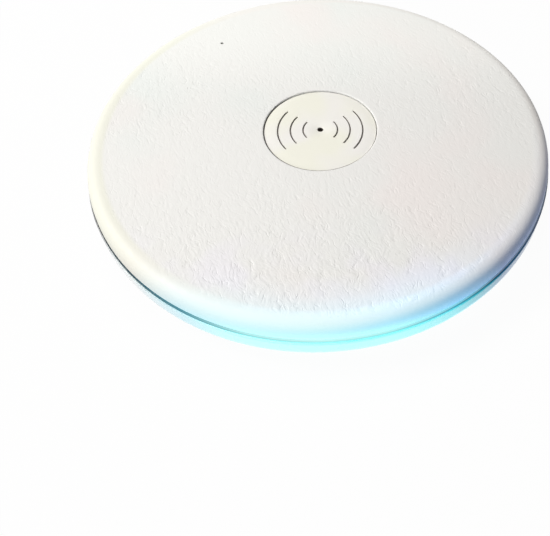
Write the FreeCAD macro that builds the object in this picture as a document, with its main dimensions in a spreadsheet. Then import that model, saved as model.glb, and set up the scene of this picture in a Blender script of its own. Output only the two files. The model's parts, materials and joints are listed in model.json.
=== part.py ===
"""Round flat pillow speaker, 100 mm across: two shells, a driven centre plate, and what they hold.

Millimetres. +Z is up and the origin is under the centre, on the surface that the feet stand on. The
front is -Y, the arc marks of the centre plate lie along X, and the charging socket and the keys are in
the back edge, at +Y.
"""

import FreeCAD, Part
import math
import os

import Sketcher
from FreeCAD import Placement, Rotation, Vector

# Driving sizes, in millimetres and degrees
SIZES = {
    # Shells
    "cover_radius": 49.6,
    "cover_wall": 1.8,
    "cover_lip": 0.2,
    "rim_round": 3.3,
    "cover_bevel": 1.2,
    "shell_proud": 0.4,
    "shell_height": 6.25,
    "shell_wall": 1.8,
    "shell_round": 4.0,
    "shell_bevel": 1.4,
    "floor_wall": 1.5,
    "seam_gap": 0.85,
    # Feet and case screws
    "foot_radius": 4.0,
    "foot_stand": 1.0,
    "foot_sunk": 0.6,
    "foot_ease": 0.4,
    "foot_gap": 0.1,
    "post_board_angle": 8.0,
    "post_rib_gap": 6.95,
    "case_post_radius": 2.8,
    "case_collar_wall": 0.7,
    "head_web": 1.2,
    "case_screw_radius": 1.1,
    "case_head_radius": 2.0,
    "case_head_height": 1.2,
    "case_screw_bite": 4.0,
    "head_gap": 0.2,
    "shank_gap": 0.25,
    "thread_gap": 0.05,
    "pilot_spare": 0.4,
    # Light ring, light strip and lamps
    "ring_recess": 0.25,
    "ring_depth": 3.75,
    "ring_lip_height": 1.0,
    "ring_lip_width": 1.3,
    "lamp_gap": 0.2,
    "lamp_depth": 0.6,
    "lamp_length": 3.0,
    "lamp_height": 1.2,
    "lamp_pitch": 16.0,
    "strip_thickness": 0.2,
    "strip_drop": 1.1,
    "strip_height": 2.6,
    "glue_gap": 0.05,
    "rib_wall": 1.0,
    "rib_drop": 0.9,
    "rib_half_sweep": 65.0,
    "strip_socket_depth": 1.6,
    "strip_socket_height": 3.0,
    "strip_socket_half_sweep": 3.0,
    "strip_socket_inset": 4.0,
    # Centre plate and its mounting
    "plate_radius": 12.2,
    "plate_gap": 0.15,
    "plate_sink": 0.3,
    "plate_skin": 1.4,
    "plate_ease": 0.2,
    "hole_ease": 0.25,
    "hub_wall": 1.6,
    "vent_radius": 0.65,
    "flange_width": 3.2,
    "flange_thickness": 0.6,
    "gasket_thickness": 0.5,
    "gasket_margin": 0.4,
    "arc_first": 3.75,
    "arc_pitch": 2.75,
    "arc_width": 0.34,
    "arc_depth": 0.35,
    "arc_half_sweep": 38.0,
    "clamp_thickness": 0.8,
    "clamp_post_gap": 0.8,
    "clamp_post_radius": 2.2,
    "clamp_screw_radius": 0.8,
    "clamp_screw_bite": 2.0,
    "clamp_head_radius": 1.5,
    "clamp_head_height": 0.8,
    # Exciter
    "exciter_frame_wall": 1.8,
    "exciter_frame_height": 2.1,
    "spring_thickness": 0.3,
    "spring_arm_width": 1.1,
    "spring_room": 2.5,
    "spring_turn": 60.0,
    "spring_slot_sweep": 96.0,
    "spring_slot_half_gap": 4.0,
    "yoke_wall": 1.5,
    "yoke_floor": 0.7,
    "yoke_floor_gap": 0.9,
    "pole_thickness": 0.8,
    "magnet_inset": 0.2,
    "coil_outer_gap": 0.5,
    "coil_wall": 0.95,
    "coil_inner_gap": 0.45,
    "coil_overlap": 1.3,
    "carrier_thickness": 0.5,
    "ear_reach": 2.4,
    "ear_half_sweep": 9.0,
    "ear_clamp_gap": 0.2,
    "ear_turn": 125.0,
    # Board and what stands on it
    "board_inner_radius": 18.0,
    "board_wall_gap": 3.2,
    "board_key_angle": 4.0,
    "board_thickness": 0.8,
    "board_gap": 0.2,
    "inner_post_inset": 5.0,
    "inner_post_angle": 40.0,
    "outer_post_x": 8.5,
    "outer_post_inset": 6.6,
    "board_post_radius": 2.0,
    "board_screw_radius": 0.7,
    "board_head_radius": 1.4,
    "board_head_height": 0.7,
    "board_screw_bite": 1.2,
    "radio_x": -1.5,
    "radio_y": -1.5,
    "radio_width": 6.0,
    "amplifier_x": 8.5,
    "amplifier_y": -5.5,
    "amplifier_width": 4.0,
    "charger_x": -15.0,
    "charger_y": 0.0,
    "charger_width": 3.0,
    "chip_height": 0.9,
    "inductor_x": 14.5,
    "inductor_y": -0.5,
    "inductor_radius": 2.0,
    "inductor_height": 1.8,
    "pinhole_inset": 6.7,
    "pinhole_angle": 129.0,
    "pinhole_radius": 0.4,
    "microphone_width": 3.0,
    "microphone_height": 1.0,
    "boot_radius": 1.4,
    "boot_bore": 0.6,
    # Wire sockets and their plugs
    "wire_socket_width": 5.2,
    "wire_socket_depth": 4.2,
    "wire_socket_height": 2.4,
    "wire_socket_wall": 0.4,
    "wire_plug_gap": 0.05,
    "wire_plug_inside": 2.4,
    "wire_plug_outside": 0.8,
    "battery_socket_x": 19.5,
    "battery_socket_y": 2.5,
    "exciter_socket_x": -9.5,
    "exciter_socket_y": 5.0,
    "lead_radius": 0.45,
    "lead_spacing": 1.4,
    # Charging socket
    "port_width": 8.94,
    "port_height": 3.16,
    "port_length": 7.3,
    "port_wall": 0.3,
    "port_inset": 0.95,
    "port_floor_gap": 0.3,
    "port_opening_gap": 0.27,
    "port_core_depth": 2.0,
    "port_core_gap": 0.02,
    "port_tongue_width": 6.7,
    "port_tongue_height": 0.7,
    "port_tongue_inset": 0.8,
    "port_tab_sunk": 0.15,
    "port_tab_width": 1.0,
    "port_tab_depth": 1.6,
    "port_tab_thickness": 0.3,
    "port_tab_inset": 5.0,
    # Keys and their switches
    "key_width": 7.0,
    "key_height": 2.2,
    "key_gap": 0.12,
    "key_proud": 0.4,
    "key_turn": 24.0,
    "key_space": 1.0,
    "key_flange_gap": 1.0,
    "key_flange_margin": 0.9,
    "key_flange_rise": 0.3,
    "key_flange_thickness": 0.8,
    "key_stem_length": 0.4,
    "key_stem_width": 2.0,
    "key_stem_height": 1.2,
    "switch_width": 4.2,
    "switch_depth": 2.6,
    "switch_height": 1.6,
    "key_travel": 0.25,
    "plunger_end_gap": 0.15,
    "plunger_width": 1.6,
    "plunger_height": 0.8,
    "plunger_reach": 1.1,
    "plunger_inside": 0.7,
    "plunger_gap": 0.15,
    # Battery
    "cell_width": 38.0,
    "cell_corner_gap": 1.02,
    "cell_height": 4.2,
    "cell_round": 1.2,
    "cell_back": 17.5,
    "cell_rib_wall": 0.8,
    "cell_rib_height": 2.0,
    "cell_rib_gap": 0.3,
    "cell_rib_reach": 16.0,
    "tape_thickness": 0.3,
    "tape_margin": 2.5,
    "guard_board_depth": 2.3,
    "guard_board_inset": 3.0,
    "guard_board_thickness": 1.0,
    "guard_board_rise": 1.2,
    "battery_lead_x": 12.0,
}

LAMP_COUNT = 7
CLAMP_SCREW_COUNT = 3
KEY_NAMES = ("power", "minus", "plus")
SIDES = ((1, 1), (-1, 1), (-1, -1), (1, -1))


class Dim:
    """A length or angle that is both its number and the spreadsheet formula that gives it."""

    def __init__(self, value, text):
        self.value = float(value)
        self.text = text

    def __add__(self, other):
        return combine(self, "+", other)

    def __radd__(self, other):
        return combine(other, "+", self)

    def __sub__(self, other):
        return combine(self, "-", other)

    def __rsub__(self, other):
        return combine(other, "-", self)

    def __mul__(self, other):
        return combine(self, "*", other)

    def __rmul__(self, other):
        return combine(other, "*", self)

    def __truediv__(self, other):
        return combine(self, "/", other)

    def __neg__(self):
        return combine(0, "-", self)


def dim(value):
    """The value as a Dim; a plain number stands for itself."""
    return value if isinstance(value, Dim) else Dim(value, repr(float(value)))


def combine(first, sign, second):
    """One sign's result on two values, as a number and as a formula."""
    first, second = dim(first), dim(second)
    results = {
        "+": lambda a, b: a + b,
        "-": lambda a, b: a - b,
        "*": lambda a, b: a * b,
        "/": lambda a, b: a / b,
    }
    return Dim(results[sign](first.value, second.value), f"({first.text} {sign} {second.text})")


def cosine(angle):
    """Cosine of an angle in degrees."""
    angle = dim(angle)
    return Dim(math.cos(math.radians(angle.value)), f"cos({angle.text} * 1 deg)")


def sine(angle):
    """Sine of an angle in degrees."""
    angle = dim(angle)
    return Dim(math.sin(math.radians(angle.value)), f"sin({angle.text} * 1 deg)")


def arcsine(ratio):
    """Angle in degrees whose sine is the ratio."""
    ratio = dim(ratio)
    return Dim(math.degrees(math.asin(ratio.value)), f"(asin({ratio.text}) / 1 deg)")


def root(value):
    """Square root."""
    value = dim(value)
    return Dim(math.sqrt(value.value), f"sqrt({value.text})")


def polar(radius, angle):
    """The corner at a radius and an angle in degrees."""
    return dim(radius) * cosine(angle), dim(radius) * sine(angle)


def fill_sheet():
    """Writes the driving sizes into the sheet, one row each, with the name as the cell's alias."""
    for row, (name, value) in enumerate(SIZES.items(), start=1):
        sheet.set(f"A{row}", name)
        sheet.set(f"B{row}", str(value))
        sheet.setAlias(f"B{row}", name)
    doc.recompute()


doc = FreeCAD.newDocument("pillow_speaker")
sheet = doc.addObject("Spreadsheet::Sheet", "sizes")
fill_sheet()
S = {name: Dim(sheet.get(name), f"sizes.{name}") for name in SIZES}
NODES = []

# Levels of the case, from the feet up
base_z = S["foot_stand"]
floor_z = base_z + S["floor_wall"]
rim_z = base_z + S["shell_height"]
skirt_z = rim_z + S["seam_gap"]
top_z = skirt_z + S["cover_lip"] + S["rim_round"]
ceiling_z = top_z - S["cover_wall"]
foot_seat_z = base_z + S["foot_sunk"]
head_seat_z = foot_seat_z + S["head_gap"] + S["case_head_height"]
collar_z = head_seat_z + S["head_web"]

# Levels of the centre plate and the exciter, from the ceiling down
plate_top_z = top_z - S["plate_sink"]
skin_low_z = plate_top_z - S["plate_skin"]
flange_top_z = ceiling_z - S["gasket_thickness"]
flange_low_z = flange_top_z - S["flange_thickness"]
clamp_top_z = flange_low_z - S["gasket_thickness"]
clamp_low_z = clamp_top_z - S["clamp_thickness"]
carrier_low_z = flange_low_z - S["carrier_thickness"]
frame_low_z = flange_low_z - S["exciter_frame_height"]
ear_top_z = clamp_low_z - S["ear_clamp_gap"]
spring_low_z = frame_low_z - S["spring_thickness"]
pole_low_z = spring_low_z - S["pole_thickness"]
yoke_low_z = floor_z + S["yoke_floor_gap"]
magnet_low_z = yoke_low_z + S["yoke_floor"]

# Radii round the centre plate
plate_hole_radius = S["plate_radius"] + S["plate_gap"]
flange_radius = S["plate_radius"] + S["flange_width"]
gasket_inner_radius = plate_hole_radius + S["gasket_margin"]
gasket_outer_radius = flange_radius - S["gasket_margin"]
clamp_outer_radius = flange_radius + S["gasket_margin"]
clamp_post_ring = flange_radius + S["clamp_post_gap"] + S["clamp_post_radius"]
frame_inner_radius = S["plate_radius"] - S["exciter_frame_wall"]
yoke_radius = frame_inner_radius - S["spring_room"]
yoke_inner_radius = yoke_radius - S["yoke_wall"]
coil_outer_radius = yoke_inner_radius - S["coil_outer_gap"]
coil_inner_radius = coil_outer_radius - S["coil_wall"]
pole_radius = coil_inner_radius - S["coil_inner_gap"]

# Places of the shell's inside, the keys, the board and the charging socket
cover_inner_radius = S["cover_radius"] - S["cover_wall"]
shell_radius = S["cover_radius"] + S["shell_proud"]
shell_inner_radius = shell_radius - S["shell_wall"]
board_outer_radius = shell_inner_radius - S["board_wall_gap"]
board_middle_radius = (S["board_inner_radius"] + board_outer_radius) / 2
key_z = (floor_z + rim_z) / 2
flange_face = shell_inner_radius - S["key_flange_gap"]
stem_face = flange_face - S["key_flange_thickness"]
key_face = shell_radius + S["key_proud"]
key_step = 2 * arcsine((S["key_width"] + 2 * S["key_flange_margin"] + S["key_space"]) / 2 / flange_face)
board_half_sweep = S["key_turn"] + (len(KEY_NAMES) - 1) * key_step + S["board_key_angle"]
plunger_tip = stem_face - S["key_stem_length"]
switch_face = plunger_tip - S["plunger_reach"]
board_top_z = key_z - S["switch_height"] / 2
board_low_z = board_top_z - S["board_thickness"]
board_pilot_z = board_low_z - S["board_screw_bite"]
port_z = floor_z + S["port_floor_gap"] + S["port_height"] / 2
port_front_y = shell_radius - S["port_inset"]
port_back_y = port_front_y - S["port_length"]

# Radii and levels of the light ring and the light strip
ring_outer_radius = shell_radius - S["ring_recess"]
ring_inner_radius = ring_outer_radius - S["ring_depth"]
lamp_face = ring_inner_radius - S["lamp_gap"]
lamp_back = lamp_face - S["lamp_depth"]
strip_back = lamp_back - S["strip_thickness"]
rib_face = strip_back - S["glue_gap"]
rib_inner_radius = rib_face - S["rib_wall"]
strip_low_z = rim_z - S["strip_drop"]
strip_end = 90 + board_half_sweep - S["strip_socket_inset"]

# Levels and places of the battery
cell_low_z = floor_z + S["tape_thickness"]
cell_reach = rib_inner_radius - S["cell_corner_gap"]
cell_front = root(cell_reach * cell_reach - S["cell_width"] * S["cell_width"] / 4)
guard_low_z = cell_low_z + S["guard_board_rise"]
guard_back = S["cell_back"] - S["guard_board_depth"]

# Places of the posts, the microphone's hole and the clamp's screws
post_x, post_y = polar(rib_inner_radius - S["post_rib_gap"], 90 - board_half_sweep - S["post_board_angle"])
case_posts = [(x * post_x, y * post_y) for x, y in SIDES]
inner_post_ring = S["board_inner_radius"] + S["inner_post_inset"]
inner_posts = [polar(inner_post_ring, 90 + side * S["inner_post_angle"]) for side in (-1, 1)]
outer_posts = [(side * S["outer_post_x"], board_outer_radius - S["outer_post_inset"]) for side in (-1, 1)]
board_posts = inner_posts + outer_posts
pinhole_x, pinhole_y = polar(board_outer_radius - S["pinhole_inset"], S["pinhole_angle"])
clamp_posts = [
    polar(clamp_post_ring, 90 + number * 360 / CLAMP_SCREW_COUNT) for number in range(CLAMP_SCREW_COUNT)
]


def bind(obj, path, value):
    """Ties a property of obj to the sheet."""
    obj.setExpression(path, dim(value).text)


def new_body(label):
    """A body of the document that becomes one node of the part."""
    body = doc.addObject("PartDesign::Body", label)
    body.Label = label
    body.AllowCompound = True
    NODES.append(body)
    return body


def origin_feature(body, role):
    """One of the body's own origin planes or axes, by its role."""
    return next(feature for feature in body.Origin.OriginFeatures if feature.Role == role)


def turn_body(body, angle):
    """Turns a whole body about the axis by an angle in degrees."""
    body.Placement = Placement(Vector(0, 0, 0), Rotation(Vector(0, 0, 1), dim(angle).value))
    bind(body, "Placement.Rotation.Angle", angle)


def move_body(body, x, y):
    """Moves a whole body to x, y."""
    body.Placement = Placement(Vector(dim(x).value, dim(y).value, 0), Rotation())
    bind(body, "Placement.Base.x", x)
    bind(body, "Placement.Base.y", y)


def plane_sketch(body, name, role, place, value):
    """A sketch on one of the body's origin planes, moved by a value in the direction of place."""
    sketch = body.newObject("Sketcher::SketchObject", name)
    sketch.AttachmentSupport = [(origin_feature(body, role), "")]
    sketch.MapMode = "FlatFace"
    sketch.AttachmentOffset = Placement(place * dim(value).value, Rotation())
    bind(sketch, "AttachmentOffset.Base.z", place.z * dim(value))
    return sketch


def flat_sketch(body, name, z):
    """A level sketch at height z, which faces up."""
    return plane_sketch(body, name, "XY_Plane", Vector(0, 0, 1), z)


def section_sketch(body, name):
    """An upright sketch through the axis, with X across and Z up."""
    return plane_sketch(body, name, "XZ_Plane", Vector(0, 0, 1), 0)


def back_sketch(body, name, distance):
    """An upright sketch at a distance behind the axis, with X across and Z up, which faces the front."""
    return plane_sketch(body, name, "XZ_Plane", Vector(0, 0, -1), distance)


def pin(sketch, geometry, point, x=None, y=None):
    """Holds a point of the sketch at x and y; a None leaves that direction free."""
    for kind, axis, value in (("DistanceX", -2, x), ("DistanceY", -1, y)):
        if value is None:
            continue
        value = dim(value)
        if value.text == "0.0":
            sketch.addConstraint(Sketcher.Constraint("PointOnObject", geometry, point, axis))
            continue
        if value.value < 0:
            value = -value
            ends = (geometry, point, -1, 1)
        else:
            ends = (-1, 1, geometry, point)
        index = sketch.addConstraint(Sketcher.Constraint(kind, *ends, value.value))
        bind(sketch, f"Constraints[{index}]", value)


def circle(sketch, x, y, radius):
    """A circle at x, y."""
    x, y, radius = dim(x), dim(y), dim(radius)
    round_line = Part.Circle(Vector(x.value, y.value, 0), Vector(0, 0, 1), radius.value)
    index = sketch.addGeometry(round_line, False)
    pin(sketch, index, 3, x, y)
    held = sketch.addConstraint(Sketcher.Constraint("Radius", index, radius.value))
    bind(sketch, f"Constraints[{held}]", radius)


def add_line(sketch, here, end):
    """A straight side to a pinned corner; gives its two end points."""
    corners = [Vector(x.value, y.value, 0) for x, y in (here, end)]
    index = sketch.addGeometry(Part.LineSegment(*corners), False)
    pin(sketch, index, 2, *end)
    return (index, 1), (index, 2)


def add_arc(sketch, here, end, centre, leftwards):
    """A round side about a pinned centre; its end is pinned along the axis that its direction turns most."""
    middle = Vector(centre[0].value, centre[1].value, 0)
    bearings = [math.atan2(point[1].value - middle.y, point[0].value - middle.x) for point in (here, end)]
    reach = math.hypot(here[0].value - middle.x, here[1].value - middle.y)
    span = bearings if leftwards else bearings[::-1]
    index = sketch.addGeometry(Part.ArcOfCircle(Part.Circle(middle, Vector(0, 0, 1), reach), *span), False)
    first, last = ((index, 1), (index, 2)) if leftwards else ((index, 2), (index, 1))
    pin(sketch, index, 3, *centre)
    if abs(math.sin(bearings[1])) > abs(math.cos(bearings[1])):
        pin(sketch, *last, x=end[0])
    else:
        pin(sketch, *last, y=end[1])
    return first, last


def outline(sketch, start, steps):
    """A closed outline of corners (x, y) and arcs (end x, end y, centre x, centre y, turn)."""
    here = (dim(start[0]), dim(start[1]))
    first = last = None
    for step in steps:
        end = (dim(step[0]), dim(step[1]))
        if len(step) == 2:
            tail, head = add_line(sketch, here, end)
        else:
            tail, head = add_arc(sketch, here, end, (dim(step[2]), dim(step[3])), step[4] == "left")
        if last:
            sketch.addConstraint(Sketcher.Constraint("Coincident", *last, *tail))
        first = first or tail
        last = head
        here = end
    sketch.addConstraint(Sketcher.Constraint("Coincident", *last, *first))


def rectangle(sketch, low_x, low_y, high_x, high_y):
    """An upright rectangle between two corners."""
    outline(sketch, (low_x, low_y), [(high_x, low_y), (high_x, high_y), (low_x, high_y), (low_x, low_y)])


def stadium(sketch, x, y, width, height):
    """A slot with round ends, width by height, centred at x, y."""
    x, y, width, height = dim(x), dim(y), dim(width), dim(height)
    end = width / 2 - height / 2
    low, high = y - height / 2, y + height / 2
    outline(
        sketch,
        (x - end, low),
        [
            (x + end, low),
            (x + end, high, x + end, y, "left"),
            (x - end, high),
            (x - end, low, x - end, y, "left"),
        ],
    )


def sector(sketch, inner, outer, middle, half_sweep):
    """A piece of a flat ring between two radii, half_sweep degrees each way of the middle angle."""
    low, high = dim(middle) - half_sweep, dim(middle) + half_sweep
    outline(
        sketch,
        polar(inner, low),
        [
            polar(outer, low),
            (*polar(outer, high), 0, 0, "left"),
            polar(inner, high),
            (*polar(inner, low), 0, 0, "right"),
        ],
    )


def set_length(feature, sketch, length, reverse):
    """Sets the outline, the length and the direction of a pad or pocket."""
    feature.Profile = sketch
    feature.Length = dim(length).value
    bind(feature, "Length", length)
    feature.Reversed = reverse
    feature.getParentGeoFeatureGroup().Tip = feature


def pad(body, sketch, length, reverse=False):
    """Adds a sketch's outline over a length, the way that the sketch faces unless it is reversed."""
    feature = body.newObject("PartDesign::Pad", f"{sketch.Name}_pad")
    set_length(feature, sketch, length, reverse)
    return feature


def pocket(body, sketch, length, reverse=False):
    """Cuts a sketch's outline over a length, against the way that the sketch faces unless it is reversed."""
    feature = body.newObject("PartDesign::Pocket", f"{sketch.Name}_pocket")
    set_length(feature, sketch, length, reverse)
    return feature


def revolve(body, sketch):
    """Turns a section once round the sketch's upright axis."""
    feature = body.newObject("PartDesign::Revolution", f"{sketch.Name}_turn")
    feature.Profile = sketch
    feature.ReferenceAxis = (sketch, ["V_Axis"])
    feature.Angle = 360
    body.Tip = feature
    return feature


def repeat(body, feature, count):
    """Repeats a feature evenly round the axis."""
    pattern = body.newObject("PartDesign::PolarPattern", f"{feature.Name}_round")
    pattern.Originals = [feature]
    pattern.Axis = (origin_feature(body, "Z_Axis"), [""])
    pattern.Angle = 360
    pattern.Occurrences = count
    body.Tip = pattern


def turned(label, corner, steps):
    """A round piece: one section turned about the axis."""
    body = new_body(label)
    section = section_sketch(body, f"{label}_section")
    outline(section, corner, steps)
    revolve(body, section)
    return body


def washer(label, inner, outer, low, high):
    """A flat ring between two radii and two heights."""
    return turned(label, (inner, low), [(outer, low), (outer, high), (inner, high), (inner, low)])


def disc(label, radius, low, high):
    """A solid disc between two heights."""
    return turned(label, (0, low), [(radius, low), (radius, high), (0, high), (0, low)])


def post_circles(body, name, z, places, radius):
    """A level sketch with one circle at each place."""
    sketch = flat_sketch(body, name, z)
    for x, y in places:
        circle(sketch, x, y, radius)
    return sketch


def make_top_cover():
    """Top cover: a shallow cap with a round rim, the centre plate's hole, and posts for the screws."""
    radius, bend, bevel, ease = S["cover_radius"], S["rim_round"], S["cover_bevel"], S["hole_ease"]
    bend_x, bend_z = radius - bend, top_z - bend
    cover = turned(
        "top_cover",
        (plate_hole_radius, ceiling_z),
        [
            (cover_inner_radius - bevel, ceiling_z),
            (cover_inner_radius, ceiling_z - bevel),
            (cover_inner_radius, skirt_z),
            (radius, skirt_z),
            (radius, bend_z),
            (bend_x, top_z, bend_x, bend_z, "left"),
            (plate_hole_radius + ease, top_z),
            (plate_hole_radius, top_z - ease),
            (plate_hole_radius, ceiling_z),
        ],
    )
    posts = post_circles(cover, "case_posts", collar_z, case_posts, S["case_post_radius"])
    pad(cover, posts, ceiling_z - collar_z)
    pilot_radius = S["case_screw_radius"] + S["thread_gap"]
    pilots = post_circles(cover, "case_pilots", collar_z, case_posts, pilot_radius)
    pocket(cover, pilots, S["case_screw_bite"] + S["pilot_spare"], reverse=True)
    posts = post_circles(cover, "clamp_posts", clamp_top_z, clamp_posts, S["clamp_post_radius"])
    pad(cover, posts, ceiling_z - clamp_top_z)
    pilot_radius = S["clamp_screw_radius"] + S["thread_gap"]
    pilots = post_circles(cover, "clamp_pilots", clamp_top_z, clamp_posts, pilot_radius)
    pocket(cover, pilots, S["clamp_screw_bite"] + S["pilot_spare"] / 2, reverse=True)
    pinhole = flat_sketch(cover, "pinhole", ceiling_z)
    circle(pinhole, pinhole_x, pinhole_y, S["pinhole_radius"])
    pocket(cover, pinhole, S["cover_wall"], reverse=True)


def make_bottom_shell():
    """Bottom shell: a dish with a round edge, and the posts, ribs and openings that everything else needs."""
    radius, bend, bevel = shell_radius, S["shell_round"], S["shell_bevel"]
    shell = turned(
        "bottom_shell",
        (0, base_z),
        [
            (radius - bend, base_z),
            (radius, base_z + bend, radius - bend, base_z + bend, "left"),
            (radius, rim_z),
            (shell_inner_radius, rim_z),
            (shell_inner_radius, floor_z + bevel),
            (shell_inner_radius - bevel, floor_z),
            (0, floor_z),
            (0, base_z),
        ],
    )
    collar_radius = S["case_post_radius"] + S["case_collar_wall"]
    pad(shell, post_circles(shell, "collars", floor_z, case_posts, collar_radius), collar_z - floor_z)
    stands = post_circles(shell, "board_posts", floor_z, board_posts, S["board_post_radius"])
    pad(shell, stands, board_low_z - floor_z)
    rib = flat_sketch(shell, "strip_rib", floor_z)
    sector(rib, rib_inner_radius, rib_face, -90, S["rib_half_sweep"])
    pad(shell, rib, ceiling_z - S["rib_drop"] - floor_z)
    fence = flat_sketch(shell, "cell_fence", floor_z)
    side, front = S["cell_width"] / 2 + S["cell_rib_gap"], -cell_front - S["cell_rib_gap"]
    back, wall = front + S["cell_rib_reach"], S["cell_rib_wall"]
    outline(
        fence,
        (-side - wall, front - wall),
        [
            (side + wall, front - wall),
            (side + wall, back),
            (side, back),
            (side, front),
            (-side, front),
            (-side, back),
            (-side - wall, back),
            (-side - wall, front - wall),
        ],
    )
    pad(shell, fence, S["cell_rib_height"])
    foot_seats = post_circles(shell, "foot_seats", base_z, case_posts, S["foot_radius"] + S["foot_gap"])
    pocket(shell, foot_seats, S["foot_sunk"], reverse=True)
    head_radius = S["case_head_radius"] + S["head_gap"]
    head_bores = post_circles(shell, "head_bores", foot_seat_z, case_posts, head_radius)
    pocket(shell, head_bores, head_seat_z - foot_seat_z, reverse=True)
    shank_radius = S["case_screw_radius"] + S["shank_gap"]
    shank_holes = post_circles(shell, "shanks", head_seat_z, case_posts, shank_radius)
    pocket(shell, shank_holes, S["head_web"], reverse=True)
    pilot_radius = S["board_screw_radius"] + S["thread_gap"]
    pilots = post_circles(shell, "board_pilots", board_low_z, board_posts, pilot_radius)
    pocket(shell, pilots, S["board_screw_bite"])
    port_opening = back_sketch(shell, "port_opening", shell_radius)
    gap = 2 * S["port_opening_gap"]
    stadium(port_opening, 0, port_z, S["port_width"] + gap, S["port_height"] + gap)
    pocket(shell, port_opening, S["shell_wall"] + bevel, reverse=True)
    for number, name in enumerate(KEY_NAMES):
        opening = back_sketch(shell, f"{name}_opening", shell_radius)
        turn = -S["key_turn"] - number * key_step
        away_x, away_z = -shell_radius * sine(turn), -shell_radius * cosine(turn)
        opening.AttachmentOffset = Placement(
            Vector(away_x.value, 0, away_z.value), Rotation(Vector(0, 1, 0), turn.value)
        )
        bind(opening, "AttachmentOffset.Base.x", away_x)
        bind(opening, "AttachmentOffset.Base.z", away_z)
        bind(opening, "AttachmentOffset.Rotation.Angle", turn)
        stadium(opening, 0, key_z, S["key_width"] + 2 * S["key_gap"], S["key_height"] + 2 * S["key_gap"])
        pocket(shell, opening, S["shell_wall"] + S["key_flange_gap"], reverse=True)


def make_light_ring():
    """Light ring: a clear moulding that fills the seam and stands up inside the cover's skirt."""
    lip_outer = ring_inner_radius + S["ring_lip_width"]
    turned(
        "light_ring",
        (ring_inner_radius, rim_z),
        [
            (ring_outer_radius, rim_z),
            (ring_outer_radius, skirt_z),
            (lip_outer, skirt_z),
            (lip_outer, skirt_z + S["ring_lip_height"]),
            (ring_inner_radius, skirt_z + S["ring_lip_height"]),
            (ring_inner_radius, rim_z),
        ],
    )


def make_light_strip():
    """Light strip: a flexible board on edge inside the ring, with a tail round to the main board."""
    strip = new_body("light_strip")
    band = flat_sketch(strip, "strip_band", strip_low_z)
    low, high = strip_end - 360, dim(-90) + S["rib_half_sweep"]
    outline(
        band,
        polar(strip_back, high),
        [
            (*polar(strip_back, low), 0, 0, "right"),
            polar(lamp_back, low),
            (*polar(lamp_back, high), 0, 0, "left"),
            polar(strip_back, high),
        ],
    )
    pad(strip, band, S["strip_height"])
    for number in range(LAMP_COUNT):
        lamp = new_body(f"lamp_{number + 1}")
        face = flat_sketch(lamp, f"lamp_{number + 1}_outline", (rim_z + skirt_z) / 2 - S["lamp_height"] / 2)
        half = S["lamp_length"] / 2
        outline(
            face,
            (lamp_back, -half),
            [(lamp_face, -half), (lamp_face, half), (lamp_back, half), (lamp_back, -half)],
        )
        pad(lamp, face, S["lamp_height"])
        turn_body(lamp, -90 + (number - (LAMP_COUNT - 1) / 2) * S["lamp_pitch"])
    socket = new_body("strip_socket")
    block = flat_sketch(socket, "strip_socket_outline", board_top_z)
    sector(
        block,
        rib_face - S["strip_socket_depth"],
        rib_face,
        strip_end,
        S["strip_socket_half_sweep"],
    )
    pad(socket, block, S["strip_socket_height"])


def make_centre_plate():
    """Centre plate: a skin with six arc marks, a hub wall and drive boss under it, and a flange all round."""
    hub_inner_radius = S["plate_radius"] - S["hub_wall"]
    ease = S["plate_ease"]
    plate = turned(
        "centre_plate",
        (S["vent_radius"], flange_low_z),
        [
            (coil_outer_radius, flange_low_z),
            (coil_outer_radius, skin_low_z),
            (hub_inner_radius, skin_low_z),
            (hub_inner_radius, flange_low_z),
            (flange_radius, flange_low_z),
            (flange_radius, flange_top_z),
            (S["plate_radius"], flange_top_z),
            (S["plate_radius"], plate_top_z - ease),
            (S["plate_radius"] - ease, plate_top_z),
            (S["vent_radius"], plate_top_z),
            (S["vent_radius"], flange_low_z),
        ],
    )
    marks = flat_sketch(plate, "arc_marks", plate_top_z)
    for number in range(3):
        middle_radius = S["arc_first"] + number * S["arc_pitch"]
        for middle in (0, 180):
            sector(
                marks,
                middle_radius - S["arc_width"] / 2,
                middle_radius + S["arc_width"] / 2,
                middle,
                S["arc_half_sweep"],
            )
    pocket(plate, marks, S["arc_depth"])
    washer("upper_gasket", gasket_inner_radius, gasket_outer_radius, flange_top_z, ceiling_z)
    washer("lower_gasket", gasket_inner_radius, gasket_outer_radius, clamp_top_z, flange_low_z)


def make_clamp():
    """Clamp ring with three lugs that holds the plate's flange up against the cover, and its screws."""
    ring = washer("clamp_ring", gasket_inner_radius, clamp_outer_radius, clamp_low_z, clamp_top_z)
    lug = flat_sketch(ring, "clamp_lug", clamp_low_z)
    half = S["clamp_post_radius"]
    root = gasket_inner_radius + S["gasket_margin"]
    outline(
        lug,
        (-half, root),
        [
            (half, root),
            (half, clamp_post_ring),
            (-half, clamp_post_ring, 0, clamp_post_ring, "left"),
            (-half, root),
        ],
    )
    repeat(ring, pad(ring, lug, S["clamp_thickness"]), CLAMP_SCREW_COUNT)
    hole_radius = S["clamp_screw_radius"] + S["shank_gap"]
    holes = post_circles(ring, "clamp_holes", clamp_low_z, clamp_posts, hole_radius)
    pocket(ring, holes, S["clamp_thickness"], reverse=True)
    screws = new_body("clamp_screws")
    pad(
        screws,
        post_circles(screws, "clamp_heads", clamp_low_z, clamp_posts, S["clamp_head_radius"]),
        S["clamp_head_height"],
        reverse=True,
    )
    pad(
        screws,
        post_circles(screws, "clamp_shanks", clamp_low_z, clamp_posts, S["clamp_screw_radius"]),
        S["clamp_thickness"] + S["clamp_screw_bite"],
    )


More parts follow.
